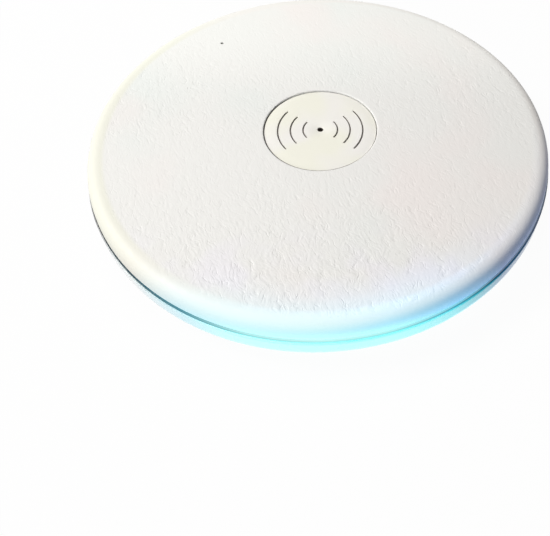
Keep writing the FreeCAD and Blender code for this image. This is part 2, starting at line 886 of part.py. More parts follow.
def make_exciter():
    """Exciter: a frame on the plate's hub, a flat spring, a magnet in its cup, and the coil on its boss."""
    frame = washer("exciter_frame", frame_inner_radius, S["plate_radius"], frame_low_z, flange_low_z)
    ear = flat_sketch(frame, "terminal_ear", frame_low_z)
    sector(
        ear,
        S["plate_radius"] - S["exciter_frame_wall"] / 2,
        S["plate_radius"] + S["ear_reach"],
        S["ear_turn"],
        S["ear_half_sweep"],
    )
    pad(frame, ear, ear_top_z - frame_low_z)
    spring = washer("exciter_spring", yoke_inner_radius, S["plate_radius"], spring_low_z, frame_low_z)
    slot = flat_sketch(spring, "spring_slot", frame_low_z)
    middle = (yoke_radius + frame_inner_radius) / 2
    arm_inner, arm_outer = middle - S["spring_arm_width"] / 2, middle + S["spring_arm_width"] / 2
    start, sweep, gap = S["spring_turn"], S["spring_slot_sweep"], S["spring_slot_half_gap"]
    outline(
        slot,
        polar(frame_inner_radius, start - gap),
        [
            (*polar(frame_inner_radius, start + sweep), 0, 0, "left"),
            polar(arm_outer, start + sweep),
            (*polar(arm_outer, start + gap), 0, 0, "right"),
            polar(yoke_radius, start + gap),
            (*polar(yoke_radius, start - sweep), 0, 0, "right"),
            polar(arm_inner, start - sweep),
            (*polar(arm_inner, start - gap), 0, 0, "left"),
            polar(frame_inner_radius, start - gap),
        ],
    )
    repeat(spring, pocket(spring, slot, S["spring_thickness"]), 3)
    turned(
        "exciter_yoke",
        (0, yoke_low_z),
        [
            (yoke_radius, yoke_low_z),
            (yoke_radius, spring_low_z),
            (yoke_inner_radius, spring_low_z),
            (yoke_inner_radius, magnet_low_z),
            (0, magnet_low_z),
            (0, yoke_low_z),
        ],
    )
    disc("magnet", pole_radius - S["magnet_inset"], magnet_low_z, pole_low_z)
    disc("pole_plate", pole_radius, pole_low_z, spring_low_z)
    washer(
        "voice_coil",
        coil_inner_radius,
        coil_outer_radius,
        spring_low_z - S["coil_overlap"],
        carrier_low_z,
    )
    washer("coil_carrier", S["vent_radius"] * 2, coil_outer_radius, carrier_low_z, flange_low_z)


def make_chip(label, name):
    """A square chip on the board, placed from the middle of the board's width."""
    chip = new_body(label)
    face = flat_sketch(chip, f"{label}_outline", board_top_z)
    half = S[f"{name}_width"] / 2
    x, y = S[f"{name}_x"], board_middle_radius + S[f"{name}_y"]
    rectangle(face, x - half, y - half, x + half, y + half)
    pad(chip, face, S["chip_height"])


def make_board():
    """Main board: a part of a ring round the back, with its screws and what is soldered on it."""
    board = new_body("main_board")
    face = flat_sketch(board, "board_outline", board_low_z)
    sector(face, S["board_inner_radius"], board_outer_radius, 90, board_half_sweep)
    pad(board, face, S["board_thickness"])
    notch = flat_sketch(board, "port_notch", board_top_z)
    side = S["port_width"] / 2 + S["board_gap"]
    rectangle(notch, -side, port_back_y - S["board_gap"], side, port_front_y)
    pocket(board, notch, S["board_thickness"])
    hole_radius = S["board_screw_radius"] + S["board_gap"]
    holes = post_circles(board, "board_holes", board_top_z, board_posts, hole_radius)
    pocket(board, holes, S["board_thickness"])
    screws = new_body("board_screws")
    pad(
        screws,
        post_circles(screws, "board_heads", board_top_z, board_posts, S["board_head_radius"]),
        S["board_head_height"],
    )
    pad(
        screws,
        post_circles(screws, "board_shanks", board_top_z, board_posts, S["board_screw_radius"]),
        board_top_z - board_pilot_z,
        reverse=True,
    )
    make_chip("radio_chip", "radio")
    make_chip("amplifier_chip", "amplifier")
    make_chip("charger_chip", "charger")
    inductor = new_body("inductor")
    face = flat_sketch(inductor, "inductor_outline", board_top_z)
    circle(face, S["inductor_x"], board_middle_radius + S["inductor_y"], S["inductor_radius"])
    pad(inductor, face, S["inductor_height"])
    microphone = new_body("microphone")
    face = flat_sketch(microphone, "microphone_outline", board_top_z)
    half = S["microphone_width"] / 2
    x, y = pinhole_x, pinhole_y
    rectangle(face, x - half, y - half, x + half, y + half)
    pad(microphone, face, S["microphone_height"])
    boot = new_body("microphone_boot")
    face = flat_sketch(boot, "boot_outline", board_top_z + S["microphone_height"])
    circle(face, x, y, S["boot_radius"])
    circle(face, x, y, S["boot_bore"])
    pad(boot, face, ceiling_z - board_top_z - S["microphone_height"])


def make_charging_socket():
    """Charging socket: a folded shell with two tabs on the board, and a moulded core with its tongue."""
    shell = new_body("port_shell")
    tube = back_sketch(shell, "port_tube", port_front_y)
    wall = 2 * S["port_wall"]
    stadium(tube, 0, port_z, S["port_width"], S["port_height"])
    stadium(tube, 0, port_z, S["port_width"] - wall, S["port_height"] - wall)
    pad(shell, tube, S["port_length"])
    tabs = flat_sketch(shell, "port_tabs", board_top_z)
    inside = S["port_width"] / 2 - S["port_tab_sunk"]
    outside = S["port_width"] / 2 + S["port_tab_width"]
    back = port_front_y - S["port_tab_inset"] - S["port_tab_depth"]
    rectangle(tabs, inside, back, outside, back + S["port_tab_depth"])
    rectangle(tabs, -outside, back, -inside, back + S["port_tab_depth"])
    pad(shell, tabs, S["port_tab_thickness"])
    core = new_body("port_core")
    block = back_sketch(core, "port_block", port_back_y + S["port_core_depth"])
    fit = wall + 2 * S["port_core_gap"]
    stadium(block, 0, port_z, S["port_width"] - fit, S["port_height"] - fit)
    pad(core, block, S["port_core_depth"])
    tongue = back_sketch(core, "port_tongue", port_back_y + S["port_core_depth"])
    half, rise = S["port_tongue_width"] / 2, S["port_tongue_height"] / 2
    rectangle(tongue, -half, port_z - rise, half, port_z + rise)
    pad(core, tongue, S["port_length"] - S["port_core_depth"] - S["port_tongue_inset"], reverse=True)


def make_key(number, name):
    """One key: its cap with a flange and a stem, the switch behind it, and the switch's plunger."""
    turn = -S["key_turn"] - number * key_step
    cap = new_body(f"key_{name}")
    face = back_sketch(cap, f"{name}_cap", flange_face)
    stadium(face, 0, key_z, S["key_width"], S["key_height"])
    pad(cap, face, key_face + S["key_proud"] - flange_face, reverse=True)
    curve = flat_sketch(cap, f"{name}_curve", key_z + S["key_height"])
    circle(curve, 0, 0, key_face)
    circle(curve, 0, 0, key_face + S["key_height"])
    pocket(cap, curve, 2 * S["key_height"])
    flange = back_sketch(cap, f"{name}_flange", flange_face)
    half, rise = S["key_width"] / 2 + S["key_flange_margin"], S["key_height"] / 2 + S["key_flange_rise"]
    rectangle(flange, -half, key_z - rise, half, key_z + rise)
    pad(cap, flange, S["key_flange_thickness"])
    stem = back_sketch(cap, f"{name}_stem", stem_face)
    half, rise = S["key_stem_width"] / 2, S["key_stem_height"] / 2
    rectangle(stem, -half, key_z - rise, half, key_z + rise)
    pad(cap, stem, S["key_stem_length"])
    turn_body(cap, turn)

    switch = new_body(f"switch_{name}")
    face = back_sketch(switch, f"{name}_case", switch_face)
    half, rise = S["switch_width"] / 2, S["switch_height"] / 2
    rectangle(face, -half, key_z - rise, half, key_z + rise)
    pad(switch, face, S["switch_depth"])
    bore = back_sketch(switch, f"{name}_bore", switch_face)
    half, rise = S["plunger_width"] / 2 + S["plunger_gap"], S["plunger_height"] / 2 + S["plunger_gap"]
    rectangle(bore, -half, key_z - rise, half, key_z + rise)
    pocket(switch, bore, S["plunger_inside"] + S["key_travel"] + S["plunger_end_gap"], reverse=True)
    turn_body(switch, turn)

    plunger = new_body(f"plunger_{name}")
    face = back_sketch(plunger, f"{name}_plunger", plunger_tip)
    half, rise = S["plunger_width"] / 2, S["plunger_height"] / 2
    rectangle(face, -half, key_z - rise, half, key_z + rise)
    pad(plunger, face, S["plunger_reach"] + S["plunger_inside"])
    turn_body(plunger, turn)


def make_battery():
    """Battery: a pouch cell on tape inside the shell's fence, with the guard board at its back end."""
    cell = new_body("battery_cell")
    section = back_sketch(cell, "cell_section", -S["cell_back"])
    half, bend = S["cell_width"] / 2, S["cell_round"]
    low, high = cell_low_z, cell_low_z + S["cell_height"]
    outline(
        section,
        (-half + bend, low),
        [
            (half - bend, low),
            (half, low + bend, half - bend, low + bend, "left"),
            (half, high - bend),
            (half - bend, high, half - bend, high - bend, "left"),
            (-half + bend, high),
            (-half, high - bend, -half + bend, high - bend, "left"),
            (-half, low + bend),
            (-half + bend, low, -half + bend, low + bend, "left"),
        ],
    )
    pad(cell, section, cell_front - S["cell_back"])
    tape = new_body("cell_tape")
    face = flat_sketch(tape, "tape_outline", floor_z)
    margin = S["tape_margin"]
    rectangle(face, -half + margin, -cell_front + margin, half - margin, -S["cell_back"] - margin)
    pad(tape, face, S["tape_thickness"])
    guard = new_body("guard_board")
    face = flat_sketch(guard, "guard_outline", guard_low_z)
    half = S["cell_width"] / 2 - S["guard_board_inset"]
    rectangle(face, -half, -S["cell_back"], half, -guard_back)
    pad(guard, face, S["guard_board_thickness"])


def socket_place(name):
    """Where the middle of a wire socket stands on the board, with y measured from the board's inner edge."""
    return S[f"{name}_socket_x"], S["board_inner_radius"] + S[f"{name}_socket_y"]


def make_wire_socket(name):
    """A wire socket on the board with its mouth to the front, and the plug that sits in it."""
    x, y = socket_place(name)
    width, depth, height = S["wire_socket_width"], S["wire_socket_depth"], S["wire_socket_height"]
    mouth = y - depth / 2
    socket = new_body(f"{name}_socket")
    face = flat_sketch(socket, f"{name}_socket_outline", board_top_z)
    rectangle(face, x - width / 2, mouth, x + width / 2, mouth + depth)
    pad(socket, face, height)
    bore = back_sketch(socket, f"{name}_socket_bore", mouth)
    half, edge = width / 2 - S["wire_socket_wall"], S["wire_socket_wall"]
    rectangle(bore, x - half, board_top_z + edge, x + half, board_top_z + height - edge)
    pocket(socket, bore, S["wire_plug_inside"])
    plug = new_body(f"{name}_plug")
    face = back_sketch(plug, f"{name}_plug_outline", mouth + S["wire_plug_inside"])
    half, edge = half - S["wire_plug_gap"], edge + S["wire_plug_gap"]
    rectangle(face, x - half, board_top_z + edge, x + half, board_top_z + height - edge)
    pad(plug, face, S["wire_plug_inside"] + S["wire_plug_outside"])


def lead_path(points):
    """Straight runs joined by tangent arcs as large as the runs allow; gives the wire and the radii."""
    edges = []
    radii = []
    here = points[0]
    for before, corner, after in zip(points, points[1:], points[2:]):
        back, ahead = before - corner, after - corner
        half_turn = (math.pi - back.getAngle(ahead)) / 2
        radius = 0.45 * min(back.Length, ahead.Length) / math.tan(half_turn)
        trim = radius * math.tan(half_turn)
        back.normalize()
        ahead.normalize()
        inward = (back + ahead).normalize()
        start, end = corner + back * trim, corner + ahead * trim
        middle = corner + inward * (radius / math.cos(half_turn) - radius)
        edges.append(Part.LineSegment(here, start).toShape())
        edges.append(Part.Arc(start, middle, end).toShape())
        radii.append(radius)
        here = end
    edges.append(Part.LineSegment(here, points[-1]).toShape())
    return Part.Wire(edges), radii


def make_lead(label, points):
    """An insulated lead along a route."""
    wire, radii = lead_path([Vector(*(dim(value).value for value in point)) for point in points])
    start = points[0]
    ahead = wire.Edges[0].tangentAt(wire.Edges[0].FirstParameter)
    radius = S["lead_radius"].value
    ring = Part.Wire(Part.Circle(Vector(*(dim(value).value for value in start)), ahead, radius).toShape())
    tube = wire.makePipeShell([ring], True, True)
    lead = doc.addObject("Part::Feature", label)
    lead.Label = label
    lead.Shape = tube
    NODES.append(lead)
    share = tube.Volume / (math.pi * radius**2 * wire.Length)
    print(label, "radii", [round(value, 2) for value in radii])
    print(label, "length", round(wire.Length, 1), "volume over section times length", round(share, 4))


def make_leads():
    """The battery's two leads and the exciter's two leads, each pair side by side."""
    plug_z = board_top_z + S["wire_socket_height"] / 2
    guard_z = guard_low_z + S["guard_board_thickness"] / 2
    plug_end = S["wire_socket_depth"] / 2 + S["wire_plug_outside"]
    for name, side in (("red", -0.5), ("black", 0.5)):
        shift = side * S["lead_spacing"]
        x, y = socket_place("battery")
        x, y = x + shift, y - plug_end
        start = S["battery_lead_x"] + shift
        make_lead(
            f"battery_lead_{name}",
            [
                (start, -guard_back, guard_z),
                (start, -guard_back + 4.4, guard_z),
                (start + 5.5, -guard_back + 11.2, floor_z + 1.0),
                (x + 1.8, y - 11.6, floor_z + 1.1),
                (x, y - 4.7, plug_z),
                (x, y, plug_z),
            ],
        )
        x, y = socket_place("exciter")
        x, y = x + shift, y - plug_end
        ear_x, ear_y = polar(S["plate_radius"] + S["ear_reach"], S["ear_turn"])
        ear_z = (frame_low_z + ear_top_z) / 2
        start = ear_x + shift * sine(S["ear_turn"])
        start_y = ear_y - shift * cosine(S["ear_turn"])
        make_lead(
            f"exciter_lead_{name}",
            [
                (start, start_y, ear_z),
                (start + 2.5 * cosine(S["ear_turn"]), start_y + 2.5 * sine(S["ear_turn"]), ear_z),
                (x, y - 2.2, plug_z),
                (x, y, plug_z),
            ],
        )


def make_feet_and_screws():
    """Four rubber feet in the shell's seats, and the case screws above them."""
    radius, ease = S["foot_radius"], S["foot_ease"]
    for number, (x, y) in enumerate(case_posts, start=1):
        foot = turned(
            f"foot_{number}",
            (0, 0),
            [
                (radius - ease, 0),
                (radius, ease),
                (radius, foot_seat_z),
                (0, foot_seat_z),
                (0, 0),
            ],
        )
        move_body(foot, x, y)
    screws = new_body("case_screws")
    pad(
        screws,
        post_circles(screws, "case_heads", head_seat_z, case_posts, S["case_head_radius"]),
        S["case_head_height"],
        reverse=True,
    )
    pad(
        screws,
        post_circles(screws, "case_shanks", head_seat_z, case_posts, S["case_screw_radius"]),
        S["head_web"] + S["case_screw_bite"],
    )


def build():
    """Makes every piece, from the shells inwards."""
    make_top_cover()
    make_bottom_shell()
    make_light_ring()
    make_light_strip()
    make_centre_plate()
    make_clamp()
    make_exciter()
    make_board()
    make_charging_socket()
    for number, name in enumerate(KEY_NAMES):
        make_key(number, name)
    make_battery()
    make_wire_socket("battery")
    make_wire_socket("exciter")
    make_leads()
    make_feet_and_screws()


def check():
    """Stops if any object of the document failed, or any piece is not a sound solid."""
    doc.recompute()
    for obj in doc.Objects:
        if "Invalid" in obj.State or "Error" in obj.State:
            raise RuntimeError(f"{obj.Name} failed: {obj.State}")
    for node in NODES:
        if node.Shape.isNull() or not node.Shape.isValid() or not node.Shape.Solids:
            raise RuntimeError(f"{node.Label} is not a sound solid")


def write():
    """Writes each piece to a STEP file of its own."""
    os.makedirs("parts", exist_ok=True)
    for node in NODES:
        node.Shape.exportStep(f"parts/{node.Label}.step")
    print(len(NODES), "nodes")


build()
check()
write()
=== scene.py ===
"""Finish of a round flat pillow speaker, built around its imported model.

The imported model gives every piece's place. The outer mouldings are rebuilt here at a finer grain, with the
leather texture of the cover as real relief, and every other piece gets the surface that its maker would give
it. Sizes in the classes are millimetres, and meshes are made in metres.
"""

import json
import logging
import math
from dataclasses import dataclass
from enum import Enum
from typing import Iterable, Sequence

import bmesh
import bpy
from mathutils import Matrix, Quaternion, Vector


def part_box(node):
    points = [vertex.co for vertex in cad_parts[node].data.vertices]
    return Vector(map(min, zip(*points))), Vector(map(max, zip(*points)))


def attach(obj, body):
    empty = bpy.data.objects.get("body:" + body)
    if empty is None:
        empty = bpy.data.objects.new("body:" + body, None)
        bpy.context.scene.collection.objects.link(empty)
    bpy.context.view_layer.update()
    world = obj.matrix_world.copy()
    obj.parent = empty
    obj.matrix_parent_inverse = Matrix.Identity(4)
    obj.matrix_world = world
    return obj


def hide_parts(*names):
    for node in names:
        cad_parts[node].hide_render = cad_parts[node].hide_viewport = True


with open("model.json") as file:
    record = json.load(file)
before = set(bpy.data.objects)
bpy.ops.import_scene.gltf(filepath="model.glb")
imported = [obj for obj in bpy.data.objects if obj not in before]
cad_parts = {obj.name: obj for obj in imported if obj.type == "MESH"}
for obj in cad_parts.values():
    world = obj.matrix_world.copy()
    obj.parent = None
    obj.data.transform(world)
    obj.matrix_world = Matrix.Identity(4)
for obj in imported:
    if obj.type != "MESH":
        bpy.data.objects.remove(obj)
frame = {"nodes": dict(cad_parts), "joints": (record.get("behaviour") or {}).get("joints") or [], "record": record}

MM = 0.001
# Corners nearer to each other than this, in metres, are one corner.
WELD = 0.001 * MM
# Edges that turn more than this many degrees stay sharp.
SHARP_ANGLE = 35.0
# Share of an eased edge's width at which its middle corner lies.
EASE_MIDDLE = 0.3
FEET = tuple(f"foot_{number}" for number in range(1, 5))
Colour = tuple[float, float, float]
Point2 = tuple[float, float]
DARK: Colour = (0.0, 0.0, 0.0)
WHITE: Colour = (1.0, 1.0, 1.0)

log = logging.getLogger("pillow_speaker")


class Body(Enum):
    """The bodies that pieces ride on."""

    CASE = "case"
    POWER = "power_key"
    MINUS = "minus_key"
    PLUS = "plus_key"


class Slot(Enum):
    """The record's material slots of the rebuilt pieces."""

    COVER = "cover_white"
    SHELL = "shell_white"
    # Its near-black finish is painted shade of the seam's gap.
    RING = "smoked_ring"
    PLATE = "plate_cream"
    KEY = "key_white"
    FOOT = "foot_rubber"
    METAL = "spring_steel"
    COPPER = "copper"
    MOULDED = "inner_plastic"
    GILT = "microphone_case"


# Node trees


class Value:
    """A number or vector in a node tree; Python operators on it add Math nodes."""

    def __init__(self, graph: "Graph", socket: bpy.types.NodeSocket) -> None:
        """Wraps an output socket.

        Args:
            graph: the tree that the socket is in.
            socket: the output that carries the value.
        """
        self.graph = graph
        self.socket = socket

    def math(self, operation: str, *others: "Value | float") -> "Value":
        """Adds a Math node.

        Args:
            operation: the node's operation.
            others: its further operands.

        Returns:
            The node's result.
        """
        return self.graph.math(operation, self, *others)

    def __add__(self, other: "Value | float") -> "Value":
        """Sum."""
        return self.math("ADD", other)

    def __radd__(self, other: "Value | float") -> "Value":
        """Sum with a number first."""
        return self.graph.math("ADD", other, self)

    def __sub__(self, other: "Value | float") -> "Value":
        """Difference."""
        return self.math("SUBTRACT", other)

    def __rsub__(self, other: "Value | float") -> "Value":
        """Difference with a number first."""
        return self.graph.math("SUBTRACT", other, self)

    def __mul__(self, other: "Value | float") -> "Value":
        """Product."""
        return self.math("MULTIPLY", other)

    def __rmul__(self, other: "Value | float") -> "Value":
        """Product with a number first."""
        return self.graph.math("MULTIPLY", other, self)

    def __truediv__(self, other: "Value | float") -> "Value":
        """Quotient."""
        return self.math("DIVIDE", other)

    def __neg__(self) -> "Value":
        """Opposite."""
        return self.math("MULTIPLY", -1.0)


class Graph:
    """A node tree of a material or of geometry, with one way to add any node."""

    def __init__(self, tree: bpy.types.NodeTree) -> None:
        """Wraps a tree.

        Args:
            tree: the tree to add nodes to.
        """
        self.tree = tree

    def node(self, kind: str, settings: dict | None = None, inputs: dict | None = None) -> bpy.types.Node:
        """Adds a node.

        Args:
            kind: the node's type.
            settings: its properties, set first; "stops" fills a colour ramp.
            inputs: values or links for its sockets, by identifier, name or place.

        Returns:
            The new node.
        """
        made = self.tree.nodes.new(kind)
        for name, value in (settings or {}).items():
            if name == "stops":
                self._fill_ramp(made.color_ramp, value)
            else:
                setattr(made, name, value)
        for key, value in (inputs or {}).items():
            socket = self._find(made.inputs, key)
            if isinstance(value, Value):
                self.tree.links.new(value.socket, socket)
            elif isinstance(value, bpy.types.NodeSocket):
                self.tree.links.new(value, socket)
            else:
                socket.default_value = value
        return made

    def value(
        self, kind: str, settings: dict | None = None, inputs: dict | None = None, output: str | int = 0
    ) -> Value:
        """Adds a node and gives one of its outputs.

        Args:
            kind: the node's type.
            settings: its properties.
            inputs: values or links for its sockets.
            output: the output's identifier, name or place.

        Returns:
            The output.
        """
        made = self.node(kind, settings, inputs)
        return Value(self, self._find(made.outputs, output))

    def math(self, operation: str, *operands: Value | float) -> Value:
        """Adds a Math node.

        Args:
            operation: the node's operation.
            operands: its operands.

        Returns:
            The node's result.
        """
        return self.value("ShaderNodeMath", {"operation": operation}, dict(enumerate(operands)))

    def vector(self, x: Value | float, y: Value | float, z: Value | float) -> Value:
        """Joins three numbers to a vector."""
        return self.value("ShaderNodeCombineXYZ", None, {"X": x, "Y": y, "Z": z})

    def parts(self, vector: Value) -> tuple[Value, Value, Value]:
        """Splits a vector into its three numbers."""
        split = self.node("ShaderNodeSeparateXYZ", None, {0: vector})
        return tuple(Value(self, split.outputs[axis]) for axis in range(3))

    def millimetres(self, position: Value) -> tuple[Value, Value, Value]:
        """Splits a point in metres into its three numbers of millimetres."""
        return tuple(axis / MM for axis in self.parts(position))

    @staticmethod
    def radius(x: Value, y: Value) -> Value:
        """Distance from the upright axis."""
        return (x * x + y * y).math("SQRT")

    def step(self, value: Value, low: float, high: float, start: float = 0.0, end: float = 1.0) -> Value:
        """Smooth rise from start at low to end at high.

        Args:
            value: the number that drives it.
            low: where the rise starts.
            high: where it ends.
            start: the result below low.
            end: the result above high.

        Returns:
            The eased number.
        """
        return self.value(
            "ShaderNodeMapRange",
            {"interpolation_type": "SMOOTHSTEP"},
            {"Value": value, "From Min": low, "From Max": high, "To Min": start, "To Max": end},
        )

    def noise(
        self, vector: Value, scale: float, detail: float = 2.0, roughness: float = 0.5, seed: float = 0.0
    ) -> Value:
        """Soft noise from 0 to 1.

        Args:
            vector: where it is read.
            scale: features for each unit of the vector.
            detail: how many finer layers it has.
            roughness: how strong they are.
            seed: picks the pattern.

        Returns:
            The noise.
        """
        return self.value(
            "ShaderNodeTexNoise",
            {"noise_dimensions": "4D"},
            {"Vector": vector, "W": seed, "Scale": scale, "Detail": detail, "Roughness": roughness},
        )

    def product(self, first: Value, second: Value | Sequence[float]) -> Value:
        """Multiplies two vectors part by part."""
        return self.value("ShaderNodeVectorMath", {"operation": "MULTIPLY"}, {0: first, 1: second})

    def dimmed(self, light: Value, share: Value) -> Value:
        """A light at a share of its strength."""
        return self.product(light, self.vector(share, share, share))

    def mix(
        self, factor: Value | float, first: Value | Colour, second: Value | Colour, blend: str = "MIX"
    ) -> Value:
        """Mixes two colours.

        Args:
            factor: the share of the second.
            first: a colour.
            second: another.
            blend: how the second is laid over the first.

        Returns:
            The mixed colour.
        """
        colours = [c if isinstance(c, Value) else (*c, 1.0) for c in (first, second)]
        return self.value(
            "ShaderNodeMix",
            {"data_type": "RGBA", "blend_type": blend},
            {"Factor_Float": factor, "A_Color": colours[0], "B_Color": colours[1]},
            "Result_Color",
        )

    @staticmethod
    def _find(sockets: Iterable, key: str | int) -> bpy.types.NodeSocket:
        """Finds a socket.

        Args:
            sockets: where to look.
            key: its identifier, its name or its place.

        Returns:
            The socket.
        """
        if isinstance(key, int):
            return sockets[key]
        for socket in sockets:
            if socket.identifier == key:
                return socket
        return sockets[key]

    @staticmethod
    def _fill_ramp(ramp: bpy.types.ColorRamp, stops: Sequence[tuple[float, Colour]]) -> None:
        """Sets the stops of a colour ramp.

        Args:
            ramp: the colour ramp.
            stops: each stop's place from 0 to 1 and its colour.
        """
        while len(ramp.elements) > 1:
            ramp.elements.remove(ramp.elements[-1])
        ramp.elements[0].position = stops[0][0]
        ramp.elements[0].color = (*stops[0][1], 1.0)
        for position, colour in stops[1:]:
            ramp.elements.new(position).color = (*colour, 1.0)


def new_graph(owner: bpy.types.Material | bpy.types.World) -> Graph:
    """Empties the node tree of a material or a world.

    Args:
        owner: the material or the world.

    Returns:
        Its tree.
    """
    owner.use_nodes = True
    owner.node_tree.nodes.clear()
    return Graph(owner.node_tree)


@dataclass(frozen=True)
class Ramp:
    """A smooth rise from start, where a number is low, to end, where it is high."""

    low: float
    high: float
    start: float = 0.0
    end: float = 1.0

    def of(self, value: Value) -> Value:
        """The eased number."""
        return value.graph.step(value, self.low, self.high, self.start, self.end)


# Patterns that the cover's relief and its finish share


@dataclass(frozen=True)
class LeatherGrain:
    """Short hair-like wrinkles of a leather-textured moulding, mostly along one direction.

    Sizes are millimetres and degrees, and a scale is features for each millimetre. A ramp follows a noise
    from 0 to 1 or a place on the cover. The wrinkles lie in patches and are stronger to the front.
    """

    direction: float = 113.0
    cross: float = 38.0
    choice_scale: float = 0.30
    main_share: Ramp = Ramp(0.36, 0.46, 0.35, 1.0)
    left_share: Ramp = Ramp(0.54, 0.44)
    right_share: Ramp = Ramp(0.50, 0.60)
    hair_across: float = 0.41
    hair_along: float = 2.6
    hair_level: Ramp = Ramp(0.32, 0.68, -0.5, 0.5)
    hair_depth: float = 0.033
    crease_across: float = 1.7
    crease_along: float = 5.6
    crease_width: float = 0.032
    crease_depth: float = 0.050
    crease_scale: float = 0.50
    crease_share: Ramp = Ramp(0.47, 0.57)
    grain_size: float = 0.42
    grain_depth: float = 0.021
    sway: float = 0.85
    sway_scale: float = 0.55
    patch_scale: float = 0.22
    patch_share: Ramp = Ramp(0.34, 0.62, 0.55, 1.0)
    right_fall: Ramp = Ramp(2.0, 26.0, 1.0, 0.86)
    front_rise: Ramp = Ramp(-2.0, -46.0, 0.34, 1.0)
    rear_rise: Ramp = Ramp(-8.0, 2.0, 0.0, 0.24)
    rear_fall: Ramp = Ramp(16.0, 32.0, 0.0, 0.24)
    side_rise: Ramp = Ramp(18.0, 34.0, 1.0, 1.6)
    edge: Ramp = Ramp(-20.0, 30.0, 45.3, 46.6)
    edge_fade: float = 2.4
    seed: float = 4.0

    def height(self, graph: Graph, position: Value, softness: float) -> Value:
        """Relief below the smooth surface.

        Args:
            graph: the tree to build in.
            position: the point on the cover, in metres.
            softness: 0 for wrinkles with sharp edges, 1 for rounded ones that a coarse mesh can hold.

        Returns:
            The height in metres, a little above and below zero.
        """
        x, y, _ = graph.millimetres(position)
        radius = graph.radius(x, y)
        place = graph.vector(x, y, 0.0)
        choice = graph.noise(place, self.choice_scale, 1.0, seed=self.seed + 4)
        main = self._hairs(graph, x, y, self.direction, 0.0)
        left = self._hairs(graph, x, y, self.direction - self.cross, 20.0)
        right = self._hairs(graph, x, y, self.direction + self.cross, 40.0)
        hairs = (
            main * self.main_share.of(choice)
            + left * self.left_share.of(choice)
            + right * self.right_share.of(choice)
        )
        creases = self._creases(graph, x, y, softness)
        grain = graph.noise(place, 1 / self.grain_size, 1.0, seed=self.seed + 9) - 0.5
        patches = self.patch_share.of(graph.noise(place, self.patch_scale, 2.0, seed=self.seed + 5))
        fine = hairs * patches * self.hair_depth + grain * self.grain_depth
        relief = fine * self.right_fall.of(x) + creases * self.crease_depth
        rear = self.rear_rise.of(y) * self.side_rise.of(x.math("ABSOLUTE"))
        strength = self.front_rise.of(y) + rear - self.rear_fall.of(y)
        inside = graph.step(radius - self.edge.of(x), self.edge_fade, 0.0)
        return -relief * strength * inside * MM

    def _field(
        self, graph: Graph, x: Value, y: Value, direction: float, seed: float
    ) -> tuple[Value, Value]:
        """Places across and along one direction, with a sway that bends what follows them.

        Args:
            graph: the tree to build in.
            x: the place to the right, in millimetres.
            y: the place to the back.
            direction: where the pattern runs, in degrees.
            seed: picks the sway.

        Returns:
            The place across and the place along.
        """
        turn = math.radians(direction)
        bend = graph.noise(graph.vector(x, y, 0.0), self.sway_scale, 1.0, seed=self.seed + seed) - 0.5
        sway = bend * self.sway * 2
        return x * math.sin(turn) - y * math.cos(turn) + sway, x * math.cos(turn) + y * math.sin(turn)

    def _hairs(self, graph: Graph, x: Value, y: Value, direction: float, seed: float) -> Value:
        """Short wrinkles along one direction.

        Args:
            graph: the tree to build in.
            x: the place to the right, in millimetres.
            y: the place to the back.
            direction: where they run, in degrees.
            seed: picks the pattern.

        Returns:
            Their level, from -0.5 to 0.5.
        """
        across, along = self._field(graph, x, y, direction, seed)
        stretched = graph.vector(across / self.hair_across, along / self.hair_along, 0.0)
        return self.hair_level.of(graph.noise(stretched, 1.0, 1.0, 0.4, self.seed + seed + 1))

    def _creases(self, graph: Graph, x: Value, y: Value, softness: float) -> Value:
        """A few long thin creases.

        Args:
            graph: the tree to build in.
            x: the place to the right, in millimetres.
            y: the place to the back.
            softness: 0 for sharp creases, 1 for ones twice as wide.

        Returns:
            1 in a crease and 0 beside it.
        """
        across, along = self._field(graph, x, y, self.direction, 60.0)
        stretched = graph.vector(across / self.crease_across, along / self.crease_along, 0.0)
        level = (graph.noise(stretched, 1.0, 2.0, 0.5, self.seed + 61) - 0.5).math("ABSOLUTE")
        line = graph.step(level, self.crease_width * (1 + softness), 0.0)
        return line * self.crease_share.of(
            graph.noise(graph.vector(x, y, 0.0), self.crease_scale, 2.0, seed=self.seed + 62)
        )


@dataclass(frozen=True)
class Cloud:
    """Faint clouds of one colour; the scale is clouds for each metre, and the share follows their noise."""

    colour: Colour
    scale: float
    seed: float
    share: Ramp
    detail: float = 2.0

    def amount(self, graph: Graph, position: Value) -> Value:
        """How much of the colour shows at a point."""
        return self.share.of(graph.noise(position, self.scale, self.detail, seed=self.seed))


@dataclass(frozen=True)
class PaintedLightAndShade:
    """Painted light and shade of a moulding by its bearing round the disc: used both as an emitted glow, as if
    lamps shone out of it, and as factors of painted shade on its colour.

    Bearings are degrees from the front and more to the right; a colour is the painted light, or the painted shade
    factor, at that bearing.
    """

    stops: tuple[tuple[float, Colour], ...]

    def light(self, graph: Graph, position: Value) -> Value:
        """The painted light, or the painted shade factor, at a point.

        Args:
            graph: the tree to build in.
            position: the point, in metres.

        Returns:
            Its colour.
        """
        x, y, _ = graph.parts(position)
        place = x.math("ARCTAN2", -y) / (2 * math.pi) + 0.5
        stops = [(bearing / 360 + 0.5, colour) for bearing, colour in self.stops]
        return graph.value("ShaderNodeValToRGB", {"stops": stops}, {"Fac": place})


NO_GLOW = PaintedLightAndShade(((0.0, DARK),))
# No painted shade: a white factor keeps the colour as it is.
NO_PAINTED_SHADE = PaintedLightAndShade(((0.0, WHITE),))


# Finishes


